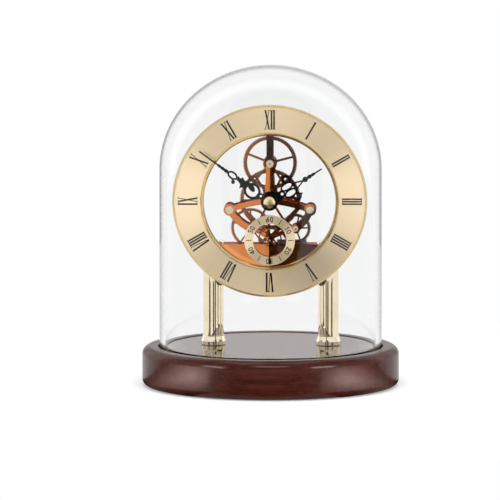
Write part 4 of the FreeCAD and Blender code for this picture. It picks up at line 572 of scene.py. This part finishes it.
def fading(tree, strength):
    """A strength that falls to nothing from the middle of a sheet to its edges."""
    coords = tree.nodes.new("ShaderNodeTexCoord")
    centred = tree.nodes.new("ShaderNodeMapping")
    centred.inputs["Location"].default_value = (-1, -1, 0)
    centred.inputs["Scale"].default_value = (2, 2, 0)
    tree.links.new(coords.outputs["Generated"], centred.inputs["Vector"])
    fade = tree.nodes.new("ShaderNodeTexGradient")
    fade.gradient_type = "QUADRATIC_SPHERE"
    tree.links.new(centred.outputs["Vector"], fade.inputs["Vector"])
    return spread(tree, fade.outputs["Fac"], 0, strength, from_low=0, from_high=1)


def card_material(name, colour, strength, passes=0, soft=False):
    """A glow for rays with one reflection or more and this many passes through glass."""
    made, tree, output = empty_material(name)
    glow = emission(tree, strength, colour)
    if soft:
        tree.links.new(fading(tree, strength), glow.inputs["Strength"])
    mirrored = at_least(tree, "Glossy Depth", 1)
    covered = at_least(tree, "Transmission Depth", passes)
    shown = calculate(tree, "MULTIPLY", mirrored, covered)
    nothing = tree.nodes.new("ShaderNodeBsdfTransparent")
    surface = blend(tree, shown, nothing.outputs["BSDF"], glow.outputs["Emission"])
    tree.links.new(surface, output.inputs["Surface"])
    return made


def card(name, points, material):
    """A sheet that neither the camera nor the matt surfaces see, and that casts no shadow."""
    made = sheet(name, points, material)
    made.visible_camera = False
    made.visible_diffuse = False
    made.visible_shadow = False
    return made


def front_card(name, points, material, y=CARD_Y):
    """An upright card that faces the clock from the front."""
    return card(name, [(x, y, z) for x, z in points], material)


def side_card(name, direction, material):
    """A tall card that stands off to one side and faces the clock."""
    turn = math.radians(direction)
    x, y = SIDE_DISTANCE * math.sin(turn), -SIDE_DISTANCE * math.cos(turn)
    along_x, along_y = SIDE_HALF_WIDTH * math.cos(turn), SIDE_HALF_WIDTH * math.sin(turn)
    outline = ((-1, SIDE_LOW), (1, SIDE_LOW), (1, SIDE_HIGH), (-1, SIDE_HIGH))
    return card(name, [(x + end * along_x, y + end * along_y, z) for end, z in outline], material)


def floor_card(name, points, material):
    """A card that lies just above the floor."""
    return card(name, [(x, y, FLOOR_CARD_LIFT) for x, y in points], material)


def at_card(x, z):
    """Where a flat face of the movement at this place mirrors the plane of the cards."""
    return x - CARD_LEFT, DIAL_Z + z - CARD_DROP


def half_disc(side, radius):
    """One half of a disc in front of the movement; near the upper pivot its split steps left."""
    arc = [TURN / 2 * step / ARC_STEPS for step in range(BAR_STEPS, ARC_STEPS + 1)]
    points = [(-BAR_CLEAR / 2, SPLIT_Z), (-BAR_CLEAR / 2, radius)]
    points += [(side * radius * math.sin(angle), radius * math.cos(angle)) for angle in arc]
    points.append((0, SPLIT_Z))
    return [at_card(x, z) for x, z in points]


bright = card_material("card_bright", (1, 1, 1), 0.72)
dark = card_material("card_dark", (1, 0.9, 0.8), 0.02)
front_card("card_left", half_disc(-1, BRIGHT_RADIUS), bright)
front_card("card_right", half_disc(1, DARK_RADIUS), dark)
for number, (x, z, radius) in enumerate(SPOTS):
    spot = [on_circle(radius, step / SPOT_STEPS, at_card(x, z)) for step in range(SPOT_STEPS)]
    front_card(f"card_spot_{number}", spot, bright, SPOT_Y)

brown = card_material("card_brown", (0.12, 0.07, 0.025), 1, passes=4)
for number, (x, y, half) in enumerate(STRIPES):
    stripe = [(x - half, 0), (x + half, 0), (x + half, STRIPE_TOP), (x - half, STRIPE_TOP)]
    front_card(f"card_stripe_{number}", stripe, brown, y)

pale = card_material("card_pale", (1, 1, 1), 0.95)
side_card("card_pale_left", -SIDE_DIRECTION, pale)
side_card("card_pale_right", SIDE_DIRECTION, pale)

on_wood = bpy.data.collections.new("on_wood")
on_wood.objects.link(nodes["wood_base"])
sheen = card_material("card_sheen", (1, 0.76, 0.7), 22, soft=True)
for side, points in SHEENS.items():
    floor_card(f"card_sheen_{side}", points, sheen).light_linking.receiver_collection = on_wood
floor_card("card_floor_dark", FLOOR_DARK, dark)


# stage: the room and the lamps

ROOM_LEVEL = 0.45
# brightness by direction, from the camera's side at 0 to the clock's far side at 1
ROOM_STOPS = [
    (0.0, 0.08),
    (0.08, 0.12),
    (0.2, 0.5),
    (0.4, 0.5),
    (0.6, 0.3),
    (0.69, 0.9),
    (0.72, 1.8),
    (0.78, 1.8),
    (0.84, 1),
    (0.94, 1),
    (0.96, 0.5),
    (0.984, 0.5),
    (0.99, 1),
]
LAMP_TARGET = (0, 0, 0.1)
# place, width, height and watts
LAMPS = {
    "key_left": ((-0.8, -0.7, 0.2), 0.4, 0.28, 4.2),
    "fill_right": ((0.8, -0.7, 0.2), 0.4, 0.28, 4.8),
    "top": ((0, -0.1, 1.1), 0.8, 0.8, 5),
    "front_high": ((0.05, -0.9, 0.62), 0.5, 0.4, 3.6),
}


def room():
    """White or more to the eye and through glass, graded in reflections, even for matt surfaces."""
    world = bpy.data.worlds.new("studio")
    scene.world = world
    world.use_nodes = True
    tree = world.node_tree
    tree.nodes.clear()
    output = tree.nodes.new("ShaderNodeOutputWorld")
    towards = tree.nodes.new("ShaderNodeTexCoord")
    split = tree.nodes.new("ShaderNodeSeparateXYZ")
    tree.links.new(towards.outputs["Generated"], split.inputs["Vector"])
    forward = spread(tree, split.outputs["Y"], 0, 1, from_low=-1, from_high=1)
    mirrored = grey_ramp(tree, forward, ROOM_STOPS)
    paths = tree.nodes.new("ShaderNodeLightPath")
    straight = calculate(
        tree, "MAXIMUM", paths.outputs["Is Camera Ray"], paths.outputs["Is Transmission Ray"]
    )
    seen = tree.nodes.new("ShaderNodeBackground")
    tree.links.new(calculate(tree, "MAXIMUM", mirrored, straight), seen.inputs["Color"])
    unseen = tree.nodes.new("ShaderNodeBackground")
    unseen.inputs["Color"].default_value = (1, 1, 1, 1)
    unseen.inputs["Strength"].default_value = ROOM_LEVEL
    surface = blend(
        tree, seen_by_eye(tree), unseen.outputs["Background"], seen.outputs["Background"]
    )
    tree.links.new(surface, output.inputs["Surface"])


room()

not_on_glass = bpy.data.collections.new("not_on_glass")
not_on_glass.objects.link(dome_glass)
not_on_glass.collection_objects[0].light_linking.link_state = "EXCLUDE"

for name, (location, width, height, power) in LAMPS.items():
    data = bpy.data.lights.new(name, "AREA")
    data.shape = "RECTANGLE"
    data.size = width
    data.size_y = height
    data.energy = power
    lamp = bpy.data.objects.new(name, data)
    scene.collection.objects.link(lamp)
    lamp.location = location
    aim = Vector(location) - Vector(LAMP_TARGET)
    lamp.rotation_euler = aim.to_track_quat("Z", "Y").to_euler()
    lamp.light_linking.receiver_collection = not_on_glass


# camera

FRAME_PIXELS = 500
PIXELS_PER_METRE = 1712
CENTRE_PIXEL = 270.6
SENSOR_WIDTH = 36
DISTANCE = 9
ELEVATION = math.radians(7)
AZIMUTH = math.radians(2)
AIM = Vector((0, 0, 0.0795))

camera_data = bpy.data.cameras.new("camera")
camera_data.sensor_width = SENSOR_WIDTH
camera_data.lens = SENSOR_WIDTH * DISTANCE * PIXELS_PER_METRE / FRAME_PIXELS
camera_data.shift_x = (FRAME_PIXELS / 2 - CENTRE_PIXEL) / FRAME_PIXELS
camera = bpy.data.objects.new("camera", camera_data)
scene.collection.objects.link(camera)
scene.camera = camera
offset = Vector(
    (
        math.sin(AZIMUTH) * math.cos(ELEVATION),
        -math.cos(AZIMUTH) * math.cos(ELEVATION),
        math.sin(ELEVATION),
    )
)
camera.location = AIM + offset * DISTANCE
camera.rotation_euler = offset.to_track_quat("Z", "Y").to_euler()

scene.view_settings.view_transform = "Standard"
